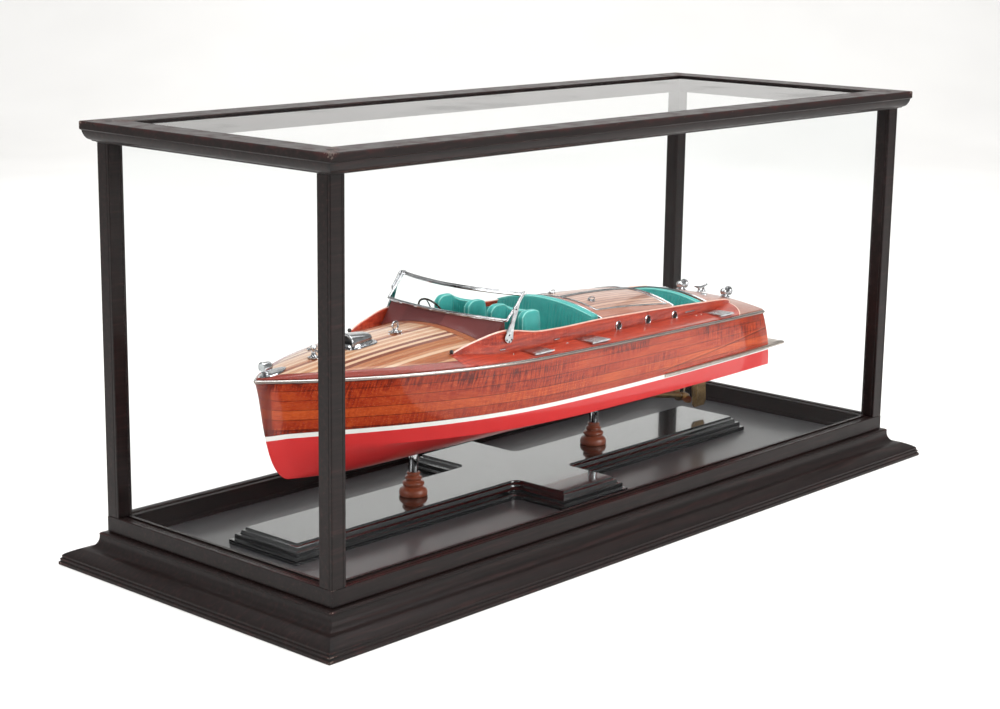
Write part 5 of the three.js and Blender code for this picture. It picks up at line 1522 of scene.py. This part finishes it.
def buildBucket(side, y, stands):
    b = bucket
    mid = b["wall"] / 2
    line, at = wrapLine(b["half"] - mid, b["back"] + mid, b["front"], b["wrap"] - mid, 200)
    ahead = unit(np.gradient(line, axis=0))
    inward = np.stack([-ahead[:, 1], ahead[:, 0]], 1)
    # the wall's top dips in the middle of the back and rounds off where the wings end
    rise = ease(b["back"] + 6, b["back"] + 22, line[:, 0])
    nose = np.clip((line[:, 0] - 74) / 12.4, 0, 1)
    height = b["low"] + (b["wing"] - b["low"]) * rise - 13 * (1 - np.sqrt(1 - nose ** 2))
    thick = mid * np.sqrt(np.clip(1 - np.clip((np.abs(at - at[-1] / 2) - at[-1] / 2 + 5) / 5, 0, 1) ** 2,
            0.0, 1))
    turn = around(56)
    # section: a tall slab with a round top, its inner face pleated
    sx, sz = np.cos(turn), np.sin(turn)
    wide = signedPower(sx, 0.4)
    tall = signedPower(sz, 0.72)
    low = b["base"] + 42
    z = (low + height[:, None]) / 2 + (height[:, None] - low) / 2 * tall[None]
    face = np.clip(sx, 0, 1)[None] ** 0.5 * ease(low + 4, low + 14,
        z) * (1 - ease(height[:, None] - 7, height[:, None] - 3, z))
    middle = 1 - ease(62, 68, line[:, 0])
    rib = (channels(at, 3.6, 0.9) * middle)[:, None] * face
    offset = thick[:, None] * wide[None] + rib
    grid = points(line[:, :1] + inward[:, :1] * offset, y + line[:, 1:] + inward[:, 1:] * offset, z)
    # the valleys of the pleats are marked for painted shade
    crease = np.clip(-rib / 0.9 - 0.45, 0, 1)
    verts, faces = barPart(grid)
    back = makePiece("bucketBack" + side, [(verts, faces)], "teal", "turquoise_vinyl", stands=stands,
        sharp=80, marks={"crease": lambda _: crease.ravel()})
    # piping follows the wall's top edge and the arm fronts
    edge = points(line[:, 0] - inward[:, 0] * mid * .55, y + line[:, 1] - inward[:, 1] * mid * .55,
        height - 0.9)
    inner = points(line[:, 0] + inward[:, 0] * mid * .62, y + line[:, 1] + inward[:, 1] * mid * .62,
        height - 1.3)
    drop = np.linspace(2, 34, 12)

    def welted(path):
        # the cord turns down the front of each wing
        first, last = path[3], path[-4]
        return tube(np.concatenate([first - points(0 * drop, 0, drop)[::-1], path[3:-3],
                    last - points(0 * drop, 0, drop)]), 0.75, 8, (0, 0.3, 1))

    pipingPiece("bucketPiping" + side, [welted(edge), welted(inner)])
    plinth = blockPart((68, y, b["base"] + 21), (17.4, 20.5, 21), 3, 5)
    base = vinylPiece("bucketPlinth" + side, [plinth])
    pad = padPiece("bucketCushion" + side, crownedPad((70.5, y, 186.5), (15.6, 17.6, 4.8), 0.35, 1.6))
    refine(pad)
    sewChannels(pad, 4.4, 0.8, y - 15.5, y + 15.5)
    ring = wrapLine(17.4, 55.4, 85.4, 10, 60)[0]
    welt = points(ring[:, 0], y + ring[:, 1], 189.2)
    pipingPiece("cushionPiping" + side, [tube(welt, 0.55, 8)])


def backRest(name, y, face, rear, bottom, top, pleats, stands=(), pitch=4.6, depth=1.0):
    # a padded back: the front face bulges in channels, the top rolls over, the rear face is plain
    s = np.linspace(0, 1, 46)
    column = y[:, None]
    turn = np.pi * np.clip((s - 0.44) / 0.12, 0, 1)
    frontSide = (s <= 0.5)[None]
    climb = np.where(s <= 0.44, s / 0.44, np.where(s >= 0.56, (1 - s) / 0.44, 1.0))[None]
    roll = np.sin(turn)[None]
    mid = (1 - np.cos(turn))[None] / 2
    tall = top(column)
    z = bottom + (tall - 3.0 - bottom) * climb + 3.0 * roll
    x = face(column, z) * (1 - mid) + rear(column, z) * mid
    swellOut = 1.6 * np.sin(np.pi * np.clip(climb, 0, 1)) ** 0.6
    inside = pleats(column)
    rib = channels(column, pitch, depth) * inside * np.clip(np.sin(np.pi * np.clip(climb * 0.97, 0, 1)) * 3,
        0, 1)
    x = x + np.where(frontSide, swellOut + rib, 0) * (1 - mid)
    z = z + np.where(frontSide & (climb > 0.9), 0.4 * rib, 0)
    ends = np.clip((1 - np.abs(np.linspace(-1, 1, len(y)))) * len(y) / 6, 0, 1)[:, None] ** 0.5
    centre = (face(column, z) + rear(column, z)) / 2
    x = centre + (x - centre) * ends
    grid = points(x, column, z)
    # the valleys of the channels are marked for painted shade
    crease = (np.clip(-rib / depth - 0.45, 0, 1) * np.ones_like(x)).ravel()
    piece = makePiece(name, [barPart(grid)], "teal", "turquoise_vinyl", stands=stands, sharp=80,
        marks={"crease": lambda _: crease})
    return piece


def buildBench():
    # the bench back leans aft and its ends sweep aft a little; its top follows the deck's camber
    y = np.linspace(-72, 72, 220)
    sweepAft = lambda v: 7 * (v / 72) ** 2
    top = lambda v: deckZ(-30.0, v) + 5
    face = lambda v, z: -14 - 6 * (z - 160) / 79 - sweepAft(v) * (0.5 + 0.5 * (z - 160) / 79)
    rear = lambda v, z: -24 - 10 * (z - 160) / 79 - sweepAft(v) * (0.5 + 0.5 * (z - 160) / 79)
    seats = lambda v: np.maximum(1 - ease(24, 26, np.abs(v - 36)), 1 - ease(24, 26, np.abs(v + 36)))
    backRest("benchBack", y, face, rear, 160.0, top, seats, ["bench_seat"])
    welt = points(face(y, top(y)) + 0.5, y, top(y) - 0.6)
    pipingPiece("benchPiping", [tube(welt[3:-3], 0.6, 8)])
    box = blockPart((-1, 0, 156.5), (24, 69.5, 16), 3, 5)
    base = vinylPiece("benchBase", [box])
    for side, y0 in (("Port", 35.2), ("Starboard", -35.2)):
        pad = padPiece("benchCushion" + side, crownedPad((2, y0, 176), (21.5, 33.8, 5.6), 0.3, 1.8, 60, 40),
            voxel=2.2)
        refine(pad)
        sewChannels(pad, 4.8, 0.9, y0 - 31, y0 + 31)


def buildRearSeat():
    # a straight padded back and one wide cushion on a plain base
    y = np.linspace(-56, 56, 180)
    top = lambda v: deckZ(-250.0, v) - 1.0
    face = lambda v, z: -234 - 8 * (z - 166) / 40
    rear = lambda v, z: -243 - 10 * (z - 166) / 40
    seats = lambda v: 1 - ease(50, 52, np.abs(v))
    backRest("rearBack", y, face, rear, 166.0, top, seats, ["rear_seat"], 5.2, 0.9)
    pipingPiece("rearPiping", [tube(points(face(y, top(y)) + 0.6, y, top(y) - 0.4)[3:-3], 0.6, 8)])
    base = vinylPiece("rearBase", [blockPart((-215, 0, 161.5), (22.5, 55.5, 11), 3, 5)])
    pad = padPiece("rearCushion", crownedPad((-213, 0, 177), (20, 54, 5.4), 0.3, 1.6, 80, 36), voxel=2.2)
    refine(pad)
    sewChannels(pad, 5.2, 0.9, -50, 50)


for side, sign in (("Port", 1), ("Starboard", -1)):
    buildBucket(side, sign * bucket["y"], ["front_seat_" + side.lower()])
buildBench()
buildRearSeat()
print("seats ready")


# cockpit trim
def edgeBead(x, spanX):
    # a slim bead across the boat along the deck's cut edge, as wide as the deck is at spanX
    y = np.linspace(-1, 1, 41) * float(innerSpan(spanX))
    return tube(points(x, y, deckZ(spanX, y) + 0.2), 1.0, 10)


beadEdges = (deck["cockpitAft"] - 0.6, deck["rearFore"] + 0.8)
brightPiece("deckBeads", [edgeBead(x, x) for x in beadEdges])
brightPiece("sternBead", [edgeBead(deck["rearAft"] - 0.6, deck["rearAft"])])


def liningPart(fore, aft, bottom):
    # a padded side panel inside the boards, from under their top edge down to the sole
    x = np.linspace(fore, aft, 60)[:, None]
    t = np.linspace(0, 1, 10)[None]
    high = coamingTop(x) - 5
    z = high + (bottom - high) * t
    y = coamingHalf(x) - coaming["thick"] / 2 - 2.4 - 1.2 * t ** 2 + 0.8 * np.sin(np.pi * t)
    return platePart(points(x, y, z), points(x, y - 1.6, z))


linings = [liningPart(128, -38, 178), liningPart(-188, -250, 182)]
lining = makePiece("sideLinings", bothSides(linings), "teal", "turquoise_vinyl", sharp=60)
dress(["front_sole", "rear_sole"], "sole")
print("cockpits ready")


# deck fittings
portholes = {"at": [(-66.4, 210.3), (-124.8, 208.4), (-179.6, 205.3)], "outer": 5.7, "hole": 4.0}
stepPads = [(98.0, 15.5), (2.5, 15.5), (-252.0, 13.5)]


def buildPortholes():
    # a lipped ring turned about an axis that points out from the board
    rims, shadeDiscs, glasses = [], [], []
    for x, z in portholes["at"]:
        y = float(coamingHalf(x)) + coaming["thick"] / 2
        lip, hole = portholes["outer"], portholes["hole"]
        profile = [(hole, -0.3), (hole, .9), (hole + .5, 1.4), (lip - 1, 1.5), (lip - .2, 1.0), (lip, 0),
            (lip, -.3)]
        rims.append(turnedPart(profile + [profile[0]], (x, y, z), (0, 1, 0.04), 36))
        # a black disc behind each glass is painted shade for the depth of the hole
        shadeDiscs.append(turnedPart([(0, 0.08), (hole + .2, 0.08), (hole + .2, -.2), (0, -.2)], (x, y, z),
                (0, 1, .04), 28))
        glasses.append(turnedPart([(0, 0.75), (hole * .6, .65), (hole, .4), (hole, .3), (0, .3)], (x, y, z),
                (0, 1, 0.04), 28))
    brightPiece("portholeRims", bothSides(rims))
    blackPiece("portholeShadeDiscs", bothSides(shadeDiscs))
    makePiece("portholeGlass", bothSides(glasses), "shield", "windshield_clear")


def buildStepPads():
    # a ribbed bright tread: rounded ribs run across a thin plate that lies level with the side deck
    parts, feet, dashes = [], [], []
    for x, half in stepPads:
        inner = float(coamingHalf(x)) + 3.4
        outer = float(sheerHalf(x)) - 1.2
        y = (inner + outer) / 2
        z = float(sideDeckZ(x, y)) + 1.7
        u = np.linspace(-1, 1, 121)
        rib = 0.45 * np.abs(np.sin(np.pi * (u + 1) * 5)) ** 0.5 * (np.abs(u) < 0.96)
        v = np.linspace(inner, outer, 12)
        top = points(x + half * u[:, None], v[None], z + rib[:, None])
        under = points(x + half * u[:, None], v[None], z - 1.1)
        parts.append(platePart(top, under))
        feet.append(blockPart((x, y, z - 1.9), (half - 2.5, (outer - inner) / 2 - 2, 1.2), 0.4))
    # small bright studs and short cleats stand along the boards' foot
    for x in (142.0, 50.0, -206.0, -216.0):
        wall = float(coamingHalf(x)) + coaming["thick"] / 2
        lie = float(sideDeckZ(x, wall + 2))
        dashes.append(blockPart((x, wall + 1.2, lie + 4.6), (4.2, 1.0, 0.8), 0.5))
        dashes.append(screwHead((x - 12, wall + 6, float(sideDeckZ(x - 12, wall + 6)) + .1), (0, 0, 1),
                1.3))
    brightPiece("stepPads", bothSides(parts + feet), sharp=40)
    brightPiece("deckStuds", bothSides(dashes))


def deckPlatePart(outline, lift, thick, x0=0.0):
    # a thin shaped plate that follows the deck: rings shrink from its outline to its middle line
    outline = np.asarray(outline, float)
    keep = np.array([1, .97, .8, .5, .2, 0])[:, None]
    swellUp = np.array([0, .7, .9, 1, 1, 1])[:, None] * thick
    x = x0 + (outline[None, :, 0] - x0) * keep
    y = outline[None, :, 1] * keep
    z = deckZ(x, y) + lift
    return platePart(points(x, y, z + swellUp), points(x, y, z), closeColumns=True)


def buildBowFittings():
    # lamp: a drum with a domed lens and a ringed back, on a post rising from a pointed plate
    t = around(60)
    leaf = np.stack([384 + 18 * np.cos(t), 8.2 * signedPower(np.sin(t), 1.35)], 1)
    base = deckPlatePart(leaf, 0.5, 1.3, 384)
    lamp = onDeck(392, 0, 8.6)
    post = turnedPart([(0, -8), (4.4, -7.6), (2.8, -6.4), (2.1, -4.8), (2.1, -3), (0, -3)], lamp,
        sides=28)
    drum = turnedPart([(0, -8.6), (1.2, -8.2), (1.6, -7.2), (3.2, -6.2), (4.7, -4.6), (5.2, -2.4),
            (5.2, 3.6), (5.6, 3.9), (5.6, 5.4), (5.0, 5.8), (4.4, 5.4), (0, 5.3)], lamp,
        (1, 0, -0.05), 36)
    brightPiece("bowLamp", [base, post, drum], stands=["bow_light"])
    lens = turnedPart([(4.5, 5.3), (4.3, 6.1), (3.2, 6.9), (1.6, 7.3), (0, 7.4), (0, 5.2), (4.5, 5.2)],
        lamp, (1, 0, -0.05), 32)
    makePiece("bowLampLens", [lens], "shield", "windshield_clear")
    # mooring post: a turned bollard with a cross pin
    foot = float(deckZ(328, 0))
    bollard = turnedPart([(0, 0), (6.4, .1), (6.4, 1.1), (4.6, 1.6), (2.9, 2.8), (2.4, 4.6), (2.5, 8.5),
            (3.1, 10), (3.9, 10.8), (3.9, 12), (2.8, 13), (0, 13.3)], (328, 0, foot + .1), sides=32)
    pin = tube([(328, -7.6, foot + 7.6), (328, 0, foot + 7.6), (328, 7.6, foot + 7.6)], 1.1, 12)
    tips = [turnedPart([(0, -1.7), (1.6, -1.1), (1.9, 0), (1.6, 1.1), (0, 1.7)], (328, s * 7.8, foot + 7.6),
            (0, 1, 0), 18) for s in (1, -1)]
    brightPiece("mooringPost", [bollard, pin, *tips])
    # lifting ring: a standing ring on a flared foot
    foot = float(deckZ(212, 0))
    base = turnedPart([(0, 0), (6.6, .1), (6.7, 1.1), (5.2, 1.7), (3.4, 2.3), (2.4, 3.2), (2.2, 4.2),
            (0, 4.4)], (212, 0, foot + .2), sides=32)
    eye = ringPart((212, 0, foot + 7.6), (0, 1, 0), 4.2, 1.15, 44)
    bolts = [screwHead(onDeck(212 + dx, dy, .3), (0, 0, 1), 1.2)
        for dx, dy in ((9, 0), (-9, 0), (0, 9.5), (0, -9.5))]
    brightPiece("liftingEye", [base, eye, *bolts], stands=["lifting_ring"])


def buildScoop():
    # air scoop: a D-shaped hood grows from a low tail to an open mouth that faces the bow
    s = np.linspace(0, 1, 26)[:, None]
    a = np.linspace(0, np.pi, 33)[None]
    x = 251 + 35 * s
    half = 9.4 + 3.8 * s ** 0.7
    top = 238.0 + 2.4 * np.sin(s * np.pi / 2)
    floor = deckZ(x, 0 * x) + 4.0
    nose = ease(0, 0.16, s)

    def skin(inset):
        # a D section, drawn in and lowered towards the tail
        y = (half - inset) * signedPower(np.cos(a), 0.72)
        z = (top - inset - floor) * np.sin(a) ** 0.72
        return points(x, y * (0.55 + 0.45 * nose), floor + z * (0.25 + 0.75 * nose))

    outer = skin(0.0)
    hood = platePart(outer, skin(1.4))
    lip = tube(outer[-1], 0.8, 10, (1, 0, 0))
    t = around(80)
    wide = np.stack([269 + 21 * signedPower(np.cos(t), 0.5), 16 * signedPower(np.sin(t), 0.5)], 1)
    flange = deckPlatePart(wide, 0.4, 1.3, 269)
    collar = points(wide[:, 0] * 0.8 + 269 * 0.2, wide[:, 1] * 0.8, 0)
    rise = np.array([1.2, 2.6, 3.6, 4.0])[:, None]
    shrink = np.array([1, .97, .93, .86])[:, None]
    cx, cy = 269 + (collar[None, :, 0] - 269) * shrink, collar[None, :, 1] * shrink
    step = barPart(points(cx, cy, deckZ(cx, cy) + rise))
    brightPiece("airScoop", [hood, lip, flange, step], stands=["deck_vent"])
    # a black sheet a little inside the mouth is painted shade for the scoop's dark inside
    shadeSheet = points(np.array([284.5, 284.5])[:, None], np.linspace(-11.4, 11.4, 12)[None],
        np.array([0, 1])[:, None] * 0 + float(deckZ(284, 0)) + 4.2)
    shadeSheet[1, :, 2] += 5.4 * np.sqrt(np.clip(1 - (shadeSheet[1, :, 1] / 12.4) ** 4, 0, 1))
    blackPiece("scoopShadeSheet", [platePart(shadeSheet - (7, 0, 0), shadeSheet - (7.6, 0, 0))])
    screws = [screwHead(onDeck(269 + dx, dy, 1.5), (0, 0, 1), 1.1)
        for dx in (-15, 0, 15) for dy in (-13.6, 13.6)]
    makePiece("scoopScrews", screws, "steel", "steel")


def buildSternFittings():
    # cowl vents: a flared foot, a neck that turns and a bell that opens aft
    x, y = -328.5, 34.0
    foot = float(deckZ(x, y))
    base = turnedPart([(0, 0), (6.4, 0), (6.4, .8), (4.8, 1.5), (3.9, 2.6), (3.6, 3.4), (3.6, 4), (0, 4)],
        (x, y, foot + .3), sides=32)
    bell = [(0, 6.6), (1.6, 6.5), (3.0, 5.9), (4.1, 4.4), (4.5, 2.2), (4.5, -1), (4.8, -3.4), (5.6, -5.6),
        (6.0, -7.4), (5.9, -7.8), (5.3, -7.6), (4.5, -5.2), (4.0, -2.6), (3.7, 0), (0, 0.4)]
    head = turnedPart(bell, (x, y, foot + 7.4), (1, 0, 0), 36)
    # a black disc inside each bell's mouth is painted shade
    shade = turnedPart([(0, -.4), (3.6, -.4), (3.6, -.9), (0, -.9)], (x, y, foot + 7.4), (1, 0, 0), 28)
    for side, turn in bothHands:
        brightPiece("sternVent" + side, [turn(base), turn(head)], stands=["stern_vent_" + side.lower()])
        blackPiece("ventShade" + side, [turn(shade)])
    foot = float(deckZ(-325, 0))
    feet = [turnedPart([(0, 0), (3.4, .1), (3.3, .9), (2.0, 1.8), (1.6, 3), (1.6, 6.4), (0, 6.4)],
            (k, 0, foot + .3), sides=24) for k in (-329.5, -320.5)]
    s = np.linspace(-1, 1, 34)
    horn = points(-325 + 12.6 * s, 0 * s, foot + 6.4 + 2.6 * s ** 2)
    size = 1 - 0.45 * np.abs(s) ** 2
    bar = carried(horn, circle(1.7, 14), (0, 1, 0), False, size)
    tips = [turnedPart([(0, -1.1), (.8, -.8), (1.1, 0), (.8, .8), (0, 1.1)], horn[k], (1, 0, 0), 16)
        for k in (0, -1)]
    brightPiece("sternCleat", [*feet, bar, *tips], stands=["stern_cleat"])
    # fuel filler caps stand on the stern deck between the vents and the seat
    caps = [turnedPart([(0, 1.8), (1.2, 1.8), (1.4, 1.3), (3.6, 1.2), (4.2, .8), (4.4, 0), (0, 0)],
            onDeck(-290, k, .2), sides=28) for k in (30, -30)]
    brightPiece("fillerCaps", caps)


# running gear
drive = {"x": -296.0, "z": 77.0, "slope": np.radians(10.5), "radius": 14.3}


def buildPropeller():
    # three cambered blades: pitch falls with radius, chord follows a sine, the tip is rounded
    ahead = np.array([np.cos(drive["slope"]), 0, np.sin(drive["slope"])])
    side = np.array([0, 1.0, 0])
    rise = np.cross(ahead, side)
    centre = np.array([drive["x"], 0, drive["z"]])
    r = np.linspace(2.6, drive["radius"], 22)[:, None]
    c = np.linspace(-1, 1, 17)[None]
    u = (r - 2.6) / (drive["radius"] - 2.6)
    pitch = np.arctan2(8.0, r)
    chord = 5.6 * np.sin(np.pi * np.clip(0.22 + 0.74 * u, 0, 1)) ** 0.6 * np.sqrt(np.clip(1.0001 - u ** 6,
            0, 1))
    blades = []
    for turn in np.radians((0, 120, 240)):
        angle = turn + c * chord * np.cos(pitch) / r
        along = c * chord * np.sin(pitch)
        thick = 0.7 * (1 - c ** 2) * (1 - 0.7 * u) + 0.05
        camber = 0.8 * (1 - c ** 2) * np.sin(np.pi * u)
        place = lambda d: centre + (along + camber + d)[..., None] * ahead + (
            r[..., None] * (np.cos(angle)[..., None] * rise + np.sin(angle)[..., None] * side))
        blades.append(platePart(place(thick / 2), place(-thick / 2)))
    hub = turnedPart([(2.3, 6), (3.4, 5.6), (4, 4.4), (4.1, 0), (3.9, -3), (3.3, -5), (2.3, -6.2)], centre,
        ahead, 32)
    cone = turnedPart([(2.25, -6.1), (2.9, -6.3), (2.7, -8), (1.8, -9.6), (0, -10.3), (0, -6.1)], centre,
        ahead, 28)
    makePiece("propellerBlades", [*blades, hub, cone], "brass", "brass", "propulsion", ["propeller"],
        sharp=45)


def buildRadioGear():
    dress(["prop_shaft", "pushrod"], "steel")
    dress(["stern_tube", "rudder", "tiller"], "brass")
    dress(["motor", "receiver", "servo", "servo_horn"], "black")
    dress(["battery"], "wrap")
    # motor: steel end bell with slots' shadow ring
    slope = np.array([np.cos(drive["slope"]), 0, np.sin(drive["slope"])])
    tail = np.array([-42, 0, drive["z"] + (-42 - drive["x"]) * np.tan(drive["slope"])])
    bell = turnedPart([(0, 2.6), (3.4, 2.6), (3.6, 1), (11, .8), (12.6, 0), (14.15, -1.4), (14.15, -6),
            (0, -6)], tail, slope, 40)
    band = turnedPart([(14.2, -16), (14.35, -16.4), (14.35, -34), (14.2, -34.4), (13, -34.4), (13, -16),
            (14.2, -16)], tail, slope, 40)
    makePiece("motorShell", [bell, band], "steel", "steel")
    straps = [blockPart((x, -52, 135.2), (4, 18.9, 12.7), 0.8) for x in (-146, -82)]
    blackPiece("batteryStraps", straps)
    cap = blockPart((-106, 49, 135.4), (16, 9, .8), 0.4)
    pins = [blockPart((-86.6, 42 + 3 * k, 128), (2.4, .9, 3.2), 0.3) for k in range(5)]
    makePiece("receiverCap", [cap, *pins], "steel", "steel")
    gland = turnedPart([(2.6, 9), (3.6, 9), (4.4, 7.6), (5.6, 3), (6.2, 1), (7.4, .6), (7.4, -.2),
            (2.6, -.2)], (-322, 0, 97.6), sides=30)
    makePiece("rudderGland", [gland], "brass", "brass")


buildPortholes()
buildStepPads()
buildBowFittings()
buildScoop()
buildSternFittings()
buildPropeller()
buildRadioGear()
print("fittings and gear ready")


# floor and light
studio = {"floor": tint(246, 245, 243), "world": (1.0, 1.0, 1.0), "worldStrength": 0.38, "sweep": 3.2}


def buildStudio():
    # a pale sheet that lies flat under the case and sweeps up far behind it
    s = np.linspace(-6, 9, 90)
    bend = np.clip((s - studio["sweep"]) / 2.0, 0, None)
    away = np.where(s < studio["sweep"], s, studio["sweep"] + 2.0 * np.sin(np.clip(bend, 0, np.pi / 2)))
    height = np.where(bend > 0,
        2.0 * (1 - np.cos(np.clip(bend, 0, np.pi / 2))) + 2.0 * np.clip(bend - np.pi / 2, 0, None), 0)
    wide = np.linspace(-9, 9, 40)[None]
    ahead = np.array([-0.741, -0.671])
    across = np.array([-0.671, 0.741])
    grid = points(away[:, None] * ahead[0] + wide * across[0], away[:, None] * ahead[1] + wide * across[1],
        height[:, None])
    verts, faces = sheetPart(grid)
    mesh = bpy.data.meshes.new("studioSweep")
    mesh.from_pydata(verts.tolist(), [], faces)
    mesh.shade_smooth()
    sweep = bpy.data.objects.new("studioSweep", mesh)
    finish = Finish("studioPaper")
    cloud = finish.noise(finish.mm, 0.002, 2.0)
    colour = finish.ramp(cloud, (0.3, tint(240, 239, 237)), (0.7, studio["floor"]))
    sweep.data.materials.append(finish.surface(Base_Color=colour, Roughness=0.7))
    bpy.context.scene.collection.objects.link(sweep)
    sweep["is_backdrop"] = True


def softLight(name, place, target, size, power):
    data = bpy.data.lights.new(name, "AREA")
    data.shape = "RECTANGLE"
    data.size, data.size_y = size
    data.energy = power
    light = bpy.data.objects.new(name, data)
    light.location = place
    light.rotation_euler = (Vector(target) - Vector(place)).to_track_quat("-Z", "Y").to_euler()
    bpy.context.scene.collection.objects.link(light)


def lightStudio():
    world = bpy.data.worlds.new("studioWorld")
    world.use_nodes = True
    back = world.node_tree.nodes["Background"]
    back.inputs["Color"].default_value = (*studio["world"], 1)
    back.inputs["Strength"].default_value = studio["worldStrength"]
    bpy.context.scene.world = world
    softLight("overhead", (0.1, 0.2, 2.6), (0, 0, 0.2), (3.2, 2.4), 90)
    softLight("portSoftbox", (-0.6, 2.6, 1.3), (0, 0, 0.2), (1.8, 1.4), 50)
    softLight("bowSoftbox", (2.6, -0.9, 1.4), (0, 0, 0.2), (1.4, 1.4), 26)
    softLight("backdropGlow", (-1.6, -1.5, 3.0), (-3.4, -3.1, 0.2), (4.0, 2.0), 60)
    bpy.context.scene.view_settings.view_transform = "Standard"


buildStudio()
lightStudio()
print("studio ready")

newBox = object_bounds()
{"cad": [list(corner) for corner in cadBox], "visual": [list(corner) for corner in newBox]}
